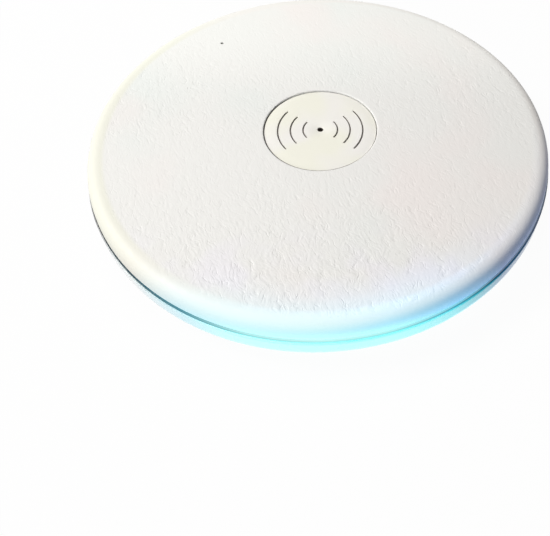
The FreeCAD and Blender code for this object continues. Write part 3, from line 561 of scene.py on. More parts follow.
@dataclass(frozen=True)
class Finish:
    """A surface with one colour, broken up by faint mottling and a fine texture."""

    name: str
    colour: Colour
    roughness: float
    metallic: float = 0.0
    mottle: float = 0.03
    mottle_scale: float = 300.0
    grain: float = 0.004
    grain_scale: float = 6000.0
    coat: float = 0.0
    specular: float = 0.5
    gloss_spread: float = 0.08
    gloss_scale: float = 2.3
    gloss_low: float = 0.3
    gloss_high: float = 0.7

    def material(self) -> bpy.types.Material:
        """Makes the material.

        Returns:
            The finished material.
        """
        made = bpy.data.materials.new(self.name)
        graph = new_graph(made)
        position = graph.value("ShaderNodeTexCoord", None, None, "Object")
        surface = graph.node(
            "ShaderNodeBsdfPrincipled",
            None,
            {"Metallic": self.metallic, "Coat Weight": self.coat, "Specular IOR Level": self.specular},
        )
        self.dress(graph, position, surface)
        graph.node("ShaderNodeOutputMaterial", None, {"Surface": surface.outputs[0]})
        return made

    def dress(self, graph: Graph, position: Value, surface: bpy.types.Node) -> None:
        """Links the colour, the roughness and the relief.

        Args:
            graph: the material's tree.
            position: the point on the piece, in metres.
            surface: the shader to dress.
        """
        self.link(graph, surface, "Base Color", self.tint(graph, position))
        self.link(graph, surface, "Roughness", self.gloss(graph, position))
        self.link(graph, surface, "Normal", self.bump(graph, self.relief(graph, position)))

    def tint(self, graph: Graph, position: Value) -> Value:
        """The colour, a little lighter and darker in clouds.

        Args:
            graph: the material's tree.
            position: the point on the piece, in metres.

        Returns:
            The colour there.
        """
        cloud = graph.noise(position, self.mottle_scale, 3.0)
        dark = tuple(channel * (1 - self.mottle) for channel in self.colour)
        light = tuple(min(1.0, channel * (1 + self.mottle)) for channel in self.colour)
        return graph.mix(cloud, dark, light)

    def gloss(self, graph: Graph, position: Value) -> Value:
        """The roughness, uneven as handled surfaces are.

        Args:
            graph: the material's tree.
            position: the point on the piece, in metres.

        Returns:
            The roughness there.
        """
        cloud = graph.noise(position, self.mottle_scale * self.gloss_scale, 2.0, seed=3.0)
        smooth, dull = (self.roughness * (1 + side * self.gloss_spread) for side in (-1, 1))
        return graph.step(cloud, self.gloss_low, self.gloss_high, smooth, min(1.0, dull))

    def relief(self, graph: Graph, position: Value) -> Value:
        """Height of the fine texture, in metres."""
        return graph.noise(position, self.grain_scale, 2.0, seed=7.0) * (self.grain * MM)

    @staticmethod
    def bump(graph: Graph, height: Value) -> Value:
        """Turns a height in metres into a normal."""
        sizes = {"Height": height, "Distance": 1.0, "Strength": 1.0}
        return graph.value("ShaderNodeBump", None, sizes, "Normal")

    @staticmethod
    def link(graph: Graph, surface: bpy.types.Node, name: str, value: Value) -> None:
        """Links a value to one of the shader's sockets."""
        graph.tree.links.new(value.socket, surface.inputs[name])


@dataclass(frozen=True)
class GlowingFinish(Finish):
    """A moulding with a painted glow that stands in for lamps shining through it."""

    glow: PaintedLightAndShade = NO_GLOW

    def dress(self, graph: Graph, position: Value, surface: bpy.types.Node) -> None:
        """Adds the painted glow to the finish.

        Args:
            graph: the material's tree.
            position: the point on the piece, in metres.
            surface: the shader to dress.
        """
        super().dress(graph, position, surface)
        surface.inputs["Emission Strength"].default_value = 1.0
        self.link(graph, surface, "Emission Color", self.light(graph, position))

    def light(self, graph: Graph, position: Value) -> Value:
        """The painted glow at a point."""
        return self.glow.light(graph, position)


@dataclass(frozen=True)
class CoverFinish(GlowingFinish):
    """White leather-textured cover with a smooth rim; painted warm light on the rim's left, painted light to the
    back, and painted glow, light spill and cool light at the front.

    Ramps follow the place to the right, the place to the back or the radius, in millimetres.
    """

    leather: LeatherGrain = LeatherGrain()
    light_spill_glow: PaintedLightAndShade = NO_GLOW
    blush: Cloud = Cloud((0.87, 0.79, 0.78), 38.0, 11.0, Ramp(0.47, 0.72, 0.0, 0.5))
    moss: Cloud = Cloud((0.775, 0.81, 0.795), 30.0, 15.0, Ramp(0.50, 0.72, 0.0, 0.7))
    # Painted light spill: lilac clouds over the leather towards the front.
    lilac: Cloud = Cloud((0.84, 0.81, 0.92), 90.0, 21.0, Ramp(0.45, 0.65, 0.0, 0.4))
    lilac_spill_front: Ramp = Ramp(-24.0, -38.0)
    # Painted warm light: the rim is ivory on the left, where the key light falls.
    ivory: Colour = (0.79, 0.79, 0.71)
    ivory_light_left: Ramp = Ramp(-18.0, -42.0)
    rim: Colour = (0.83, 0.81, 0.79)
    rim_width: float = 1.2
    # Painted light: the cover is lighter towards the back.
    rear_painted_light: Colour = (1.08, 1.095, 1.09)
    rear_rise: Ramp = Ramp(4.0, 34.0)
    # Painted cool light, cast by the glow, on the front edge of the leather.
    cool_painted_light: Colour = (0.81, 0.84, 0.83)
    cool_light_radius: Ramp = Ramp(42.0, 46.0)
    cool_light_front: Ramp = Ramp(-36.0, -45.0)
    top: float = 0.0
    glow_top: float = 0.18
    glow_curve: float = 0.46
    glow_slope: float = 0.16
    glow_radius: Ramp = Ramp(45.3, 46.5)
    # Painted light spill reaches over the leather between these radii.
    spill_rise: Ramp = Ramp(38.0, 46.5)
    spill_fall: Ramp = Ramp(48.5, 46.5)
    sharp_share: float = 0.7

    def tint(self, graph: Graph, position: Value) -> Value:
        """Warm white in faint clouds with painted lilac light spill at the front, a smooth rim with painted warm
        ivory light on the left, painted light to the back, and painted cool light at the front edge of the
        leather.

        Args:
            graph: the material's tree.
            position: the point on the cover, in metres.

        Returns:
            The colour there.
        """
        x, y, _ = graph.millimetres(position)
        radius = graph.radius(x, y)
        leather = graph.mix(self.moss.amount(graph, position), self.colour, self.moss.colour)
        leather = graph.mix(self.blush.amount(graph, position), leather, self.blush.colour)
        # Painted light spill: lilac clouds towards the front.
        light_spill = self.lilac.amount(graph, position) * self.lilac_spill_front.of(y)
        leather = graph.mix(light_spill, leather, self.lilac.colour)
        # Painted warm light: the rim turns ivory to the left, where the key light falls.
        rim = graph.mix(self.ivory_light_left.of(x), self.rim, self.ivory)
        on_rim = graph.step(radius - self.leather.edge.of(x), 0.0, self.rim_width)
        whole = graph.mix(on_rim, leather, rim)
        # Painted light: lighter towards the back.
        whole = graph.mix(self.rear_rise.of(y), whole, self.rear_painted_light, "MULTIPLY")
        # Painted cool light, cast by the glow, on the front edge of the leather.
        front = self.cool_light_radius.of(radius) * self.cool_light_front.of(y)
        return graph.mix(front, whole, self.cool_painted_light)

    def relief(self, graph: Graph, position: Value) -> Value:
        """The sharp part of the leather's creases, over what the mesh holds."""
        return self.leather.height(graph, position, 0.0) * self.sharp_share

    def light(self, graph: Graph, position: Value) -> Value:
        """Painted glow, strong at the seam and paler up the rim, and a faint painted light spill on the leather.

        Args:
            graph: the material's tree.
            position: the point on the cover, in metres.

        Returns:
            The light there.
        """
        x, y, z = graph.millimetres(position)
        radius = graph.radius(x, y)
        fall = (self.top - z).math("MAXIMUM", 0.0)
        share = self.glow_top + fall.math("SQRT") * self.glow_curve + fall * self.glow_slope
        edge = graph.dimmed(self.glow.light(graph, position), share * self.glow_radius.of(radius))
        reach = self.spill_rise.of(radius) * self.spill_fall.of(radius)
        light_spill = graph.dimmed(self.light_spill_glow.light(graph, position), reach)
        return graph.mix(1.0, edge, light_spill, "ADD")


@dataclass(frozen=True)
class ShellFinish(GlowingFinish):
    """Glossy white shell, with painted shade along its upper edge on the left and down its upper half on the
    right, and a painted glow.

    The edge begins about edge_level, and the upper half about wall_level, in millimetres over the floor.
    """

    # Painted shade of the upper edge and of the upper half, and painted light low on the wall.
    edge_shade: PaintedLightAndShade = NO_PAINTED_SHADE
    wall_shade: PaintedLightAndShade = NO_PAINTED_SHADE
    low_glow: PaintedLightAndShade = NO_GLOW
    edge_level: float = 6.7
    wall_level: float = 4.6
    edge_blend: float = 0.2
    wall_blend: float = 0.7
    edge_red: float = 0.1

    def tint(self, graph: Graph, position: Value) -> Value:
        """White, darker where shade is painted.

        Args:
            graph: the material's tree.
            position: the point on the shell, in metres.

        Returns:
            The colour there.
        """
        _, _, z = graph.millimetres(position)
        plain = super().tint(graph, position)
        # Painted shade down the upper half of the wall.
        wall = graph.mix(1.0, plain, self.wall_shade.light(graph, position), "MULTIPLY")
        high = graph.step(z, self.wall_level - self.wall_blend, self.wall_level + self.wall_blend)
        upper = graph.mix(high, plain, wall)
        # Painted shade along the upper edge.
        edge = graph.mix(1.0, upper, self.edge_shade.light(graph, position), "MULTIPLY")
        return graph.mix(self._on_edge(z, 0.0, 1.0), upper, edge)

    def light(self, graph: Graph, position: Value) -> Value:
        """The painted glow, greener along the upper edge, and painted light in the lower half on the right.

        Args:
            graph: the material's tree.
            position: the point on the shell, in metres.

        Returns:
            The light there.
        """
        _, _, z = graph.millimetres(position)
        red = self._on_edge(z, 1.0, self.edge_red)
        glow = graph.product(super().light(graph, position), graph.vector(red, 1.0, 1.0))
        share = graph.step(z, self.wall_level + self.wall_blend, self.wall_level - self.wall_blend)
        # Painted light in the lower half of the wall.
        lower = graph.dimmed(self.low_glow.light(graph, position), share)
        return graph.mix(1.0, glow, lower, "ADD")

    def _on_edge(self, z: Value, below: float, above: float) -> Value:
        """A number that changes where the upper edge begins."""
        return Ramp(self.edge_level - self.edge_blend, self.edge_level + self.edge_blend, below, above).of(z)


@dataclass(frozen=True)
class RingFinish(GlowingFinish):
    """Ring in the seam, near black as painted shade of the gap, with a painted glow and painted light along its
    upper edge from the rim above it.
    """

    edge: PaintedLightAndShade = NO_GLOW
    edge_rise: Ramp = Ramp(7.78, 7.90)

    def light(self, graph: Graph, position: Value) -> Value:
        """The painted glow, and the painted paler light along the upper edge.

        Args:
            graph: the material's tree.
            position: the point on the ring, in metres.

        Returns:
            The light there.
        """
        _, _, z = graph.millimetres(position)
        # Painted light along the upper edge.
        upper = graph.dimmed(self.edge.light(graph, position), self.edge_rise.of(z))
        return graph.mix(1.0, super().light(graph, position), upper, "ADD")


@dataclass(frozen=True)
class KeyFinish(Finish):
    """White key cap with its raised sign in grey."""

    face: float = 0.0
    ink: Colour = (0.16, 0.16, 0.17)
    ink_from: float = 0.02
    ink_full: float = 0.05

    def tint(self, graph: Graph, position: Value) -> Value:
        """White, and grey on what stands above the face.

        Args:
            graph: the material's tree.
            position: the point on the key, in metres.

        Returns:
            The colour there.
        """
        x, y, _ = graph.millimetres(position)
        raised = graph.step(graph.radius(x, y), self.face + self.ink_from, self.face + self.ink_full)
        return graph.mix(raised, super().tint(graph, position), self.ink)


@dataclass(frozen=True)
class PlateFinish(Finish):
    """Matt plate with faint cream clouds, with painted shade in its marks and hole where they go down, and on the
    front of its edge.
    """

    top: float = 0.0
    radius: float = 0.0
    cream: Cloud = Cloud((0.86, 0.86, 0.72), 95.0, 2.0, Ramp(0.40, 0.62, 0.0, 0.6), 1.0)
    # Painted shade for the marks, the hole and the front of the edge.
    groove: Colour = (0.13, 0.11, 0.10)
    groove_shade_from: float = 0.12
    groove_shade_full: float = 0.24
    edge_shade_from: float = 0.16
    edge_shade_full: float = 0.06
    shadow_side: Point2 = (0.8, 0.6)
    shadow: Ramp = Ramp(4.0, -3.0)

    def tint(self, graph: Graph, position: Value) -> Value:
        """White and cream above, with painted shade in the marks, the hole and the front of the edge.

        Args:
            graph: the material's tree.
            position: the point on the plate, in metres.

        Returns:
            The colour there.
        """
        x, y, z = graph.millimetres(position)
        face = graph.mix(self.cream.amount(graph, position), self.colour, self.cream.colour)
        # Painted shade where the marks and the hole go down.
        low = graph.step(z, self.top - self.groove_shade_from, self.top - self.groove_shade_full)
        # Painted shade on the front of the edge, away from the light.
        side = graph.step(graph.radius(x, y), self.radius - self.edge_shade_from, self.radius - self.edge_shade_full)
        front = side * self.shadow.of(x * self.shadow_side[0] + y * self.shadow_side[1])
        return graph.mix(low.math("MAXIMUM", front), face, self.groove)


@dataclass(frozen=True)
class BrushedFinish(Finish):
    """Metal with fine scratches along one axis."""

    stretch: tuple[float, float, float] = (1.0, 14.0, 14.0)
    scratch_scale: float = 900.0

    def relief(self, graph: Graph, position: Value) -> Value:
        """Height of the scratches, in metres."""
        scratches = graph.noise(graph.product(position, self.stretch), self.scratch_scale, 3.0, 0.6, 5.0)
        return scratches * (self.grain * MM)


@dataclass(frozen=True)
class BoardFinish(Finish):
    """Solder mask with copper tracks that show through it."""

    track_scale: float = 420.0
    track_width: float = 0.12
    track_offset: float = 0.37
    track_squash: float = 1.6
    squash_every: int = 3
    track_gain: float = 1.9
    track_lift: float = 0.02

    def tint(self, graph: Graph, position: Value) -> Value:
        """Green with lighter lines where tracks run.

        Args:
            graph: the material's tree.
            position: the point on the board, in metres.

        Returns:
            The colour there.
        """
        tracks = graph.value(
            "ShaderNodeTexBrick",
            {
                "offset": self.track_offset,
                "squash": self.track_squash,
                "squash_frequency": self.squash_every,
            },
            {
                "Vector": position,
                "Scale": self.track_scale,
                "Mortar Size": self.track_width,
                "Color1": (*DARK, 1.0),
                "Color2": (*DARK, 1.0),
                "Mortar": (*WHITE, 1.0),
            },
            "Fac",
        )
        light = tuple(channel * self.track_gain + self.track_lift for channel in self.colour)
        return graph.mix(tracks, self.colour, light)


# Meshes


def ring_section(centre: Point2, radius: float, start: float, end: float, steps: int) -> list[Point2]:
    """Points of an arc in a section.

    Args:
        centre: its centre, as radius and height.
        radius: its radius.
        start: the first point's angle in degrees.
        end: the last point's angle.
        steps: how many parts it has.

    Returns:
        The points, ends included.
    """
    turns = [math.radians(start + (end - start) * n / steps) for n in range(steps + 1)]
    return [(centre[0] + radius * math.cos(turn), centre[1] + radius * math.sin(turn)) for turn in turns]


def eased_corner(corner: Point2, ease: float, start: float, end: float, steps: int) -> list[Point2]:
    """Points round an eased corner of a section.

    Args:
        corner: the corner before it is eased, as radius and height.
        ease: the radius of the easing.
        start: the first point's angle in degrees.
        end: the last point's angle.
        steps: how many parts it has.

    Returns:
        The points, ends included.
    """
    middle = math.radians((start + end) / 2)
    centre = (
        corner[0] - math.copysign(ease, math.cos(middle)),
        corner[1] - math.copysign(ease, math.sin(middle)),
    )
    return ring_section(centre, ease, start, end, steps)


def straight(start: Point2, end: Point2, steps: int) -> list[Point2]:
    """Points along a straight side, without its ends.

    Args:
        start: where the side starts.
        end: where it ends.
        steps: how many parts it has.

    Returns:
        The points between.
    """
    return [
        (start[0] + (end[0] - start[0]) * n / steps, start[1] + (end[1] - start[1]) * n / steps)
        for n in range(1, steps)
    ]


def spin(mesh: bmesh.types.BMesh, section: Sequence[Point2], sides: int, centre: Point2 = (0.0, 0.0)) -> None:
    """Adds a closed section turned about an upright axis.

    Args:
        mesh: the mesh to add to.
        section: its corners as radius and height in millimetres; a corner on the axis has radius 0.
        sides: how many sides the circle has.
        centre: the axis's x and y in millimetres.
    """
    rings = []
    turns = [2 * math.pi * n / sides for n in range(sides)]
    for radius, height in section:
        if radius == 0:
            rings.append([mesh.verts.new((centre[0] * MM, centre[1] * MM, height * MM))] * sides)
            continue
        across, along = ([radius * way(turn) for turn in turns] for way in (math.cos, math.sin))
        places = [(centre[0] + x, centre[1] + y) for x, y in zip(across, along)]
        rings.append([mesh.verts.new((x * MM, y * MM, height * MM)) for x, y in places])
    for low, high in zip(rings, rings[1:] + rings[:1]):
        for n in range(sides):
            corners = [low[n], low[(n + 1) % sides], high[(n + 1) % sides], high[n]]
            unique = list(dict.fromkeys(corners))
            if len(unique) > 2:
                mesh.faces.new(unique)


def slot_outline(width: float, height: float, steps: int = 8) -> list[Point2]:
    """Corners of a slot with round ends: its lower row from left to right, and its upper row back.

    Args:
        width: the slot's width.
        height: its height.
        steps: how many parts each round end and the straight middle have.

    Returns:
        The corners, about the slot's middle.
    """
    end, radius = (width - height) / 2, height / 2
    turns = [math.radians(90 * n / steps) for n in range(steps + 1)]
    left = [(-end - radius * math.cos(turn), radius * math.sin(turn)) for turn in turns]
    right = [(-across, half) for across, half in reversed(left)]
    columns = left + straight(left[-1], right[0], steps) + right
    lower = [(across, -half) for across, half in columns]
    return lower + columns[::-1]


def loft(mesh: bmesh.types.BMesh, loops: Sequence[Sequence[Vector]], ring: bool = False) -> None:
    """Joins closed loops of as many corners each, in millimetres, and closes the ends or joins them.

    Args:
        mesh: the mesh to add to.
        loops: the loops; each has its lower row from left to right and then its upper row back.
        ring: whether the last loop joins the first, as in a tube with a wall.
    """
    rows = [[mesh.verts.new(corner * MM) for corner in loop] for loop in loops]
    made = [vertex for row in rows for vertex in row]
    count = len(rows[0])
    pairs = list(zip(rows, rows[1:] + rows[:1])) if ring else list(zip(rows, rows[1:]))
    for low, high in pairs:
        for n in range(count):
            mesh.faces.new((low[n], low[(n + 1) % count], high[(n + 1) % count], high[n]))
    if not ring:
        for row in (rows[0], rows[-1]):
            for n in range(count // 2 - 1):
                mesh.faces.new((row[n], row[n + 1], row[count - 2 - n], row[count - 1 - n]))
    bmesh.ops.remove_doubles(mesh, verts=made, dist=WELD)


def block(mesh: bmesh.types.BMesh, low: Sequence[float], high: Sequence[float], ease: float = 0.06) -> None:
    """Adds a box between two corners, with eased edges.

    Args:
        mesh: the mesh to add to.
        low: its lowest corner in millimetres.
        high: its highest corner.
        ease: the width of its eased edges.
    """
    low, high = Vector(low) * MM, Vector(high) * MM
    middle = Matrix.Translation((low + high) / 2) @ Matrix.Diagonal((*(high - low), 1.0))
    made = bmesh.ops.create_cube(mesh, size=1.0, matrix=middle)["verts"]
    edges = list({edge for vertex in made for edge in vertex.link_edges})
    bmesh.ops.bevel(mesh, geom=edges, offset=ease * MM, segments=2, profile=0.5, affect="EDGES")


def middle_block(
    mesh: bmesh.types.BMesh, size: Point2, level: float, depth: Point2, ease: float = 0.06
) -> None:
    """Adds a box across the middle plane of a piece in the back edge.

    Args:
        mesh: the mesh to add to.
        size: its width and its height in millimetres.
        level: the height of its middle.
        depth: where its front and its back lie.
        ease: the width of its eased edges.
    """
    half, rise = size[0] / 2, size[1] / 2
    block(mesh, (-half, depth[0], level - rise), (half, depth[1], level + rise), ease)


def turn_about_axis(mesh: bmesh.types.BMesh, degrees: float) -> None:
    """Turns a whole mesh about the upright axis through the origin."""
    bmesh.ops.rotate(mesh, verts=mesh.verts, matrix=Matrix.Rotation(math.radians(degrees), 3, "Z"))


def new_object(name: str, data: bpy.types.ID) -> bpy.types.Object:
    """Puts a new object in the scene.

    Args:
        name: its name.
        data: its mesh, camera or light.

    Returns:
        The object.
    """
    made = bpy.data.objects.new(name, data)
    bpy.context.scene.collection.objects.link(made)
    return made


def smooth_object(mesh: bmesh.types.BMesh, name: str, angle: float) -> bpy.types.Object:
    """Turns a bmesh into an object with smooth faces and sharp corners.

    Args:
        mesh: the mesh, which is freed.
        name: the object's name.
        angle: edges that turn more than this many degrees stay sharp.

    Returns:
        The object.
    """
    data = bpy.data.meshes.new(name)
    mesh.to_mesh(data)
    mesh.free()
    data.shade_smooth()
    data.set_sharp_from_angle(angle=math.radians(angle))
    return new_object(name, data)


def finish_mesh(mesh: bmesh.types.BMesh, name: str, angle: float = SHARP_ANGLE) -> bpy.types.Object:
    """Turns a closed bmesh into an object whose faces point outwards.

    Args:
        mesh: the mesh, which is freed.
        name: the object's name.
        angle: edges that turn more than this many degrees stay sharp.

    Returns:
        The object.
    """
    bmesh.ops.recalc_face_normals(mesh, faces=mesh.faces)
    return smooth_object(mesh, name, angle)


def node_copy(node: str, name: str) -> bpy.types.Object:
    """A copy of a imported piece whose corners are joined, so that it can be smooth.

    Args:
        node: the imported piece.
        name: the copy's name.

    Returns:
        The copy.
    """
    mesh = bmesh.new()
    mesh.from_mesh(frame["nodes"][node].data)
    bmesh.ops.remove_doubles(mesh, verts=mesh.verts, dist=WELD)
    bmesh.ops.dissolve_degenerate(mesh, edges=mesh.edges, dist=WELD)
    return smooth_object(mesh, name, SHARP_ANGLE)


def keep_result(piece: bpy.types.Object, modifier: bpy.types.Modifier) -> None:
    """Keeps the plain mesh that a modifier gives, and removes the modifier.

    Args:
        piece: the object that has it.
        modifier: the modifier.
    """
    evaluated = piece.evaluated_get(bpy.context.evaluated_depsgraph_get())
    plain = bpy.data.meshes.new_from_object(evaluated)
    piece.modifiers.remove(modifier)
    plain.name = piece.name
    piece.data = plain


def carve(piece: bpy.types.Object, tool: bpy.types.Object) -> None:
    """Cuts one closed object out of another and removes the tool.

    Args:
        piece: the object that is cut.
        tool: the object whose space is taken away.
    """
    cut = piece.modifiers.new("cut", "BOOLEAN")
    cut.operation = "DIFFERENCE"
    cut.solver = "EXACT"
    cut.object = tool
    keep_result(piece, cut)
    bpy.data.objects.remove(tool)


def centre_of(node: str) -> Point2:
    """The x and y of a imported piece's middle, in millimetres."""
    low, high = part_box(node)
    return (low[0] + high[0]) / 2 / MM, (low[1] + high[1]) / 2 / MM


def place(piece: bpy.types.Object, body: Body, slot: Slot, *nodes: str) -> None:
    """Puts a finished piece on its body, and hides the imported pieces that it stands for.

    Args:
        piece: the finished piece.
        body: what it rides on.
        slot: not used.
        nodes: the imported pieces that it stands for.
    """
    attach(piece, body.value)
    if nodes:
        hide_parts(*nodes)
    log.info("%s: %d faces", piece.name, len(piece.data.polygons))


def place_dressed(
    piece: bpy.types.Object, material: bpy.types.Material, body: Body, slot: Slot, *nodes: str
) -> None:
    """Gives a piece its material before it is placed.

    Args:
        piece: the finished piece.
        material: what it is made of.
        body: what it rides on.
        slot: the record's slot for its finish.
        nodes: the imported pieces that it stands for.
    """
    piece.data.materials.append(material)
    place(piece, body, slot, *nodes)


class GeometryTree:
    """A Geometry Nodes tree with named inputs that is run once on a piece."""

    def __init__(self, name: str, sizes: dict[str, float]) -> None:
        """Makes the tree with its sockets.

        Args:
            name: the tree's name.
            sizes: its named inputs and their values.
        """
        self.tree = bpy.data.node_groups.new(name, "GeometryNodeTree")
        for way in ("INPUT", "OUTPUT"):
            self.tree.interface.new_socket("Geometry", in_out=way, socket_type="NodeSocketGeometry")
        self.sizes = sizes
        self.identifiers = {}
        for size in sizes:
            socket = self.tree.interface.new_socket(size, in_out="INPUT", socket_type="NodeSocketFloat")
            self.identifiers[size] = socket.identifier
        self.graph = Graph(self.tree)
        self.source = self.graph.node("NodeGroupInput")

    def size(self, name: str) -> Value:
        """One of the named inputs."""
        return Value(self.graph, self.source.outputs[name])

    def geometry(self) -> Value:
        """The piece that comes in."""
        return Value(self.graph, self.source.outputs["Geometry"])

    def grid_of_copies(self, across: str, along: str, columns: int, rows: int) -> Value:
        """Copies of the piece that comes in, on the points of a flat grid.

        Args:
            across: the named input that is the grid's width.
            along: the named input that is its length.
            columns: how many copies lie across.
            rows: how many lie along.

        Returns:
            The copies.
        """
        spans = {"Size X": self.size(across), "Size Y": self.size(along)}
        counts = {"Vertices X": columns, "Vertices Y": rows}
        grid = self.graph.value("GeometryNodeMeshGrid", None, spans | counts)
        return self.graph.value(
            "GeometryNodeInstanceOnPoints", None, {"Points": grid, "Instance": self.geometry()}
        )

    def run(self, piece: bpy.types.Object, result: Value, material: bpy.types.Material) -> None:
        """Ends the tree, runs it on a piece and keeps the plain mesh that comes out.

        Args:
            piece: the object to run it on.
            result: the geometry that it gives.
            material: what the result is made of.
        """
        real = self.graph.value("GeometryNodeRealizeInstances", None, {0: result})
        dressed = self.graph.value("GeometryNodeSetMaterial", None, {"Geometry": real, "Material": material})
        self.graph.node("NodeGroupOutput", None, {"Geometry": dressed})
        modifier = piece.modifiers.new(self.tree.name, "NODES")
        modifier.node_group = self.tree
        for size, value in self.sizes.items():
            modifier[self.identifiers[size]] = float(value)
        keep_result(piece, modifier)
        piece.data.shade_smooth()
        piece.data.set_sharp_from_angle(angle=math.radians(SHARP_ANGLE))


# Sub-assemblies


@dataclass(frozen=True)
class Post:
    """A screw post with a blind hole; low is its end's height over the floor."""

    radius: float
    low: float
    bore: float
    depth: float

    def section(self, high: float) -> list[Point2]:
        """Corners of the post's section, from the axis down and round.

        Args:
            high: the height that it reaches up to.

        Returns:
            The corners.
        """
        end = self.low + self.depth
        hole = [(0, end), (self.bore, end), (self.bore, self.low)]
        return [*hole, (self.radius, self.low), (self.radius, high), (0, high)]


@dataclass
class TopCover:
    """Upper moulding: leather-textured top, smooth round rim, and the wall of the plate's hole.

    The relief sets in between relief_start and relief_full below the top, and between clear_end and
    clear_full outside the hole. A post's root reaches post_root into the moulding.
    """

    radius: float = 49.6
    top: float = 11.6
    ceiling: float = 9.8
    skirt: float = 8.1
    bend: float = 3.3
    bend_width: float = 3.4
    bend_power: float = 2.6
    bend_steps: int = 24
    wall: float = 1.8
    inner_bevel: float = 1.2
    hole: float = 12.35
    hole_ease: float = 0.2
    lip_ease: float = 0.15
    rings: int = 108
    sides: int = 660
    case_post: Post = Post(2.8, 4.2, 1.15, 4.4)
    clamp_post: Post = Post(2.2, 8.2, 0.85, 2.2)
    post_root: float = 0.45
    clamp_ring: float = 18.4
    clamp_count: int = 3
    post_sides: int = 40
    pinhole_radius: float = 0.4
    relief_share: float = 0.6
    relief_start: float = 0.3
    relief_full: float = 0.02
    clear_end: float = 4.5
    clear_full: float = 6.0

    def bend_point(self, step: int) -> Point2:
        """Shares of the rim's width and height at a step of its curve, which is fuller than a circle."""
        turn = math.radians(90 - 90 * step / self.bend_steps)
        return math.cos(turn) ** (2 / self.bend_power), math.sin(turn) ** (2 / self.bend_power)

    def section(self) -> list[Point2]:
        """Corners of the moulding's section, from the hole's edge outwards and back under.

        Returns:
            The corners.
        """
        inner = self.radius - self.wall
        easing = eased_corner((self.hole, self.top), self.hole_ease, 180, 90, 4)
        bend = [
            (self.radius - self.bend_width * (1 - across), self.top - self.bend * (1 - up))
            for across, up in (self.bend_point(step) for step in range(self.bend_steps + 1))
        ]
        return [
            *easing,
            *straight(easing[-1], bend[0], self.rings),
            *bend,
            *eased_corner((self.radius, self.skirt), self.lip_ease, 0, -90, 3),
            (inner, self.skirt),
            (inner, self.ceiling - self.inner_bevel),
            (inner - self.inner_bevel, self.ceiling),
            (self.hole, self.ceiling),
        ]

    def add_posts(self, mesh: bmesh.types.BMesh) -> None:
        """Adds the posts under the cover: one above each foot, and three round the plate.

        Args:
            mesh: the mesh to add to.
        """
        high = self.ceiling + self.post_root
        for foot in FEET:
            spin(mesh, self.case_post.section(high), self.post_sides, centre_of(foot))
        for number in range(self.clamp_count):
            turn = math.radians(90 + number * 360 / self.clamp_count)
            place = (self.clamp_ring * math.cos(turn), self.clamp_ring * math.sin(turn))
            spin(mesh, self.clamp_post.section(high), self.post_sides, place)

    def pinhole_drill(self) -> bpy.types.Object:
        """A pin through the cover above the microphone.

        Returns:
            The pin.
        """
        mesh = bmesh.new()
        low, high = self.ceiling - 1, self.top + 1
        section = [(0, low), (self.pinhole_radius, low), (self.pinhole_radius, high), (0, high)]
        spin(mesh, section, self.post_sides, centre_of("microphone"))
        return finish_mesh(mesh, "pinhole_drill")

    def build(self, material: bpy.types.Material, leather: LeatherGrain) -> None:
        """Makes the cover with its relief.

        Args:
            material: its finish.
            leather: the texture that its top is moulded with.
        """
        mesh = bmesh.new()
        spin(mesh, self.section(), self.sides)
        cover = finish_mesh(mesh, "grained_cover")
        carve(cover, self.pinhole_drill())
        mesh = bmesh.new()
        mesh.from_mesh(cover.data)
        self.add_posts(mesh)
        mesh.to_mesh(cover.data)
        mesh.free()
        self.press_leather(cover, material, leather)
        place(cover, Body.CASE, Slot.COVER, "top_cover")

    def press_leather(
        self, cover: bpy.types.Object, material: bpy.types.Material, leather: LeatherGrain
    ) -> None:
        """Moves the top up and down by the texture's relief, except beside the plate.

        Args:
            cover: the cover.
            material: its finish.
            leather: the texture.
        """
        tree = GeometryTree("leather_relief", {"Share": self.relief_share})
        graph = tree.graph
        position = graph.value("GeometryNodeInputPosition")
        _, _, z = graph.parts(position)
        on_top = graph.step(z, (self.top - self.relief_start) * MM, (self.top - self.relief_full) * MM)
        radius = graph.value("ShaderNodeVectorMath", {"operation": "LENGTH"}, {0: position}, "Value")
        clear = graph.step(radius, (self.hole + self.clear_end) * MM, (self.hole + self.clear_full) * MM)
        height = leather.height(graph, position, 1.0) * tree.size("Share") * on_top * clear
        offset = graph.vector(0.0, 0.0, height)
        moved = graph.value(
            "GeometryNodeSetPosition", None, {"Geometry": tree.geometry(), "Offset": offset}
        )
        tree.run(cover, moved, material)


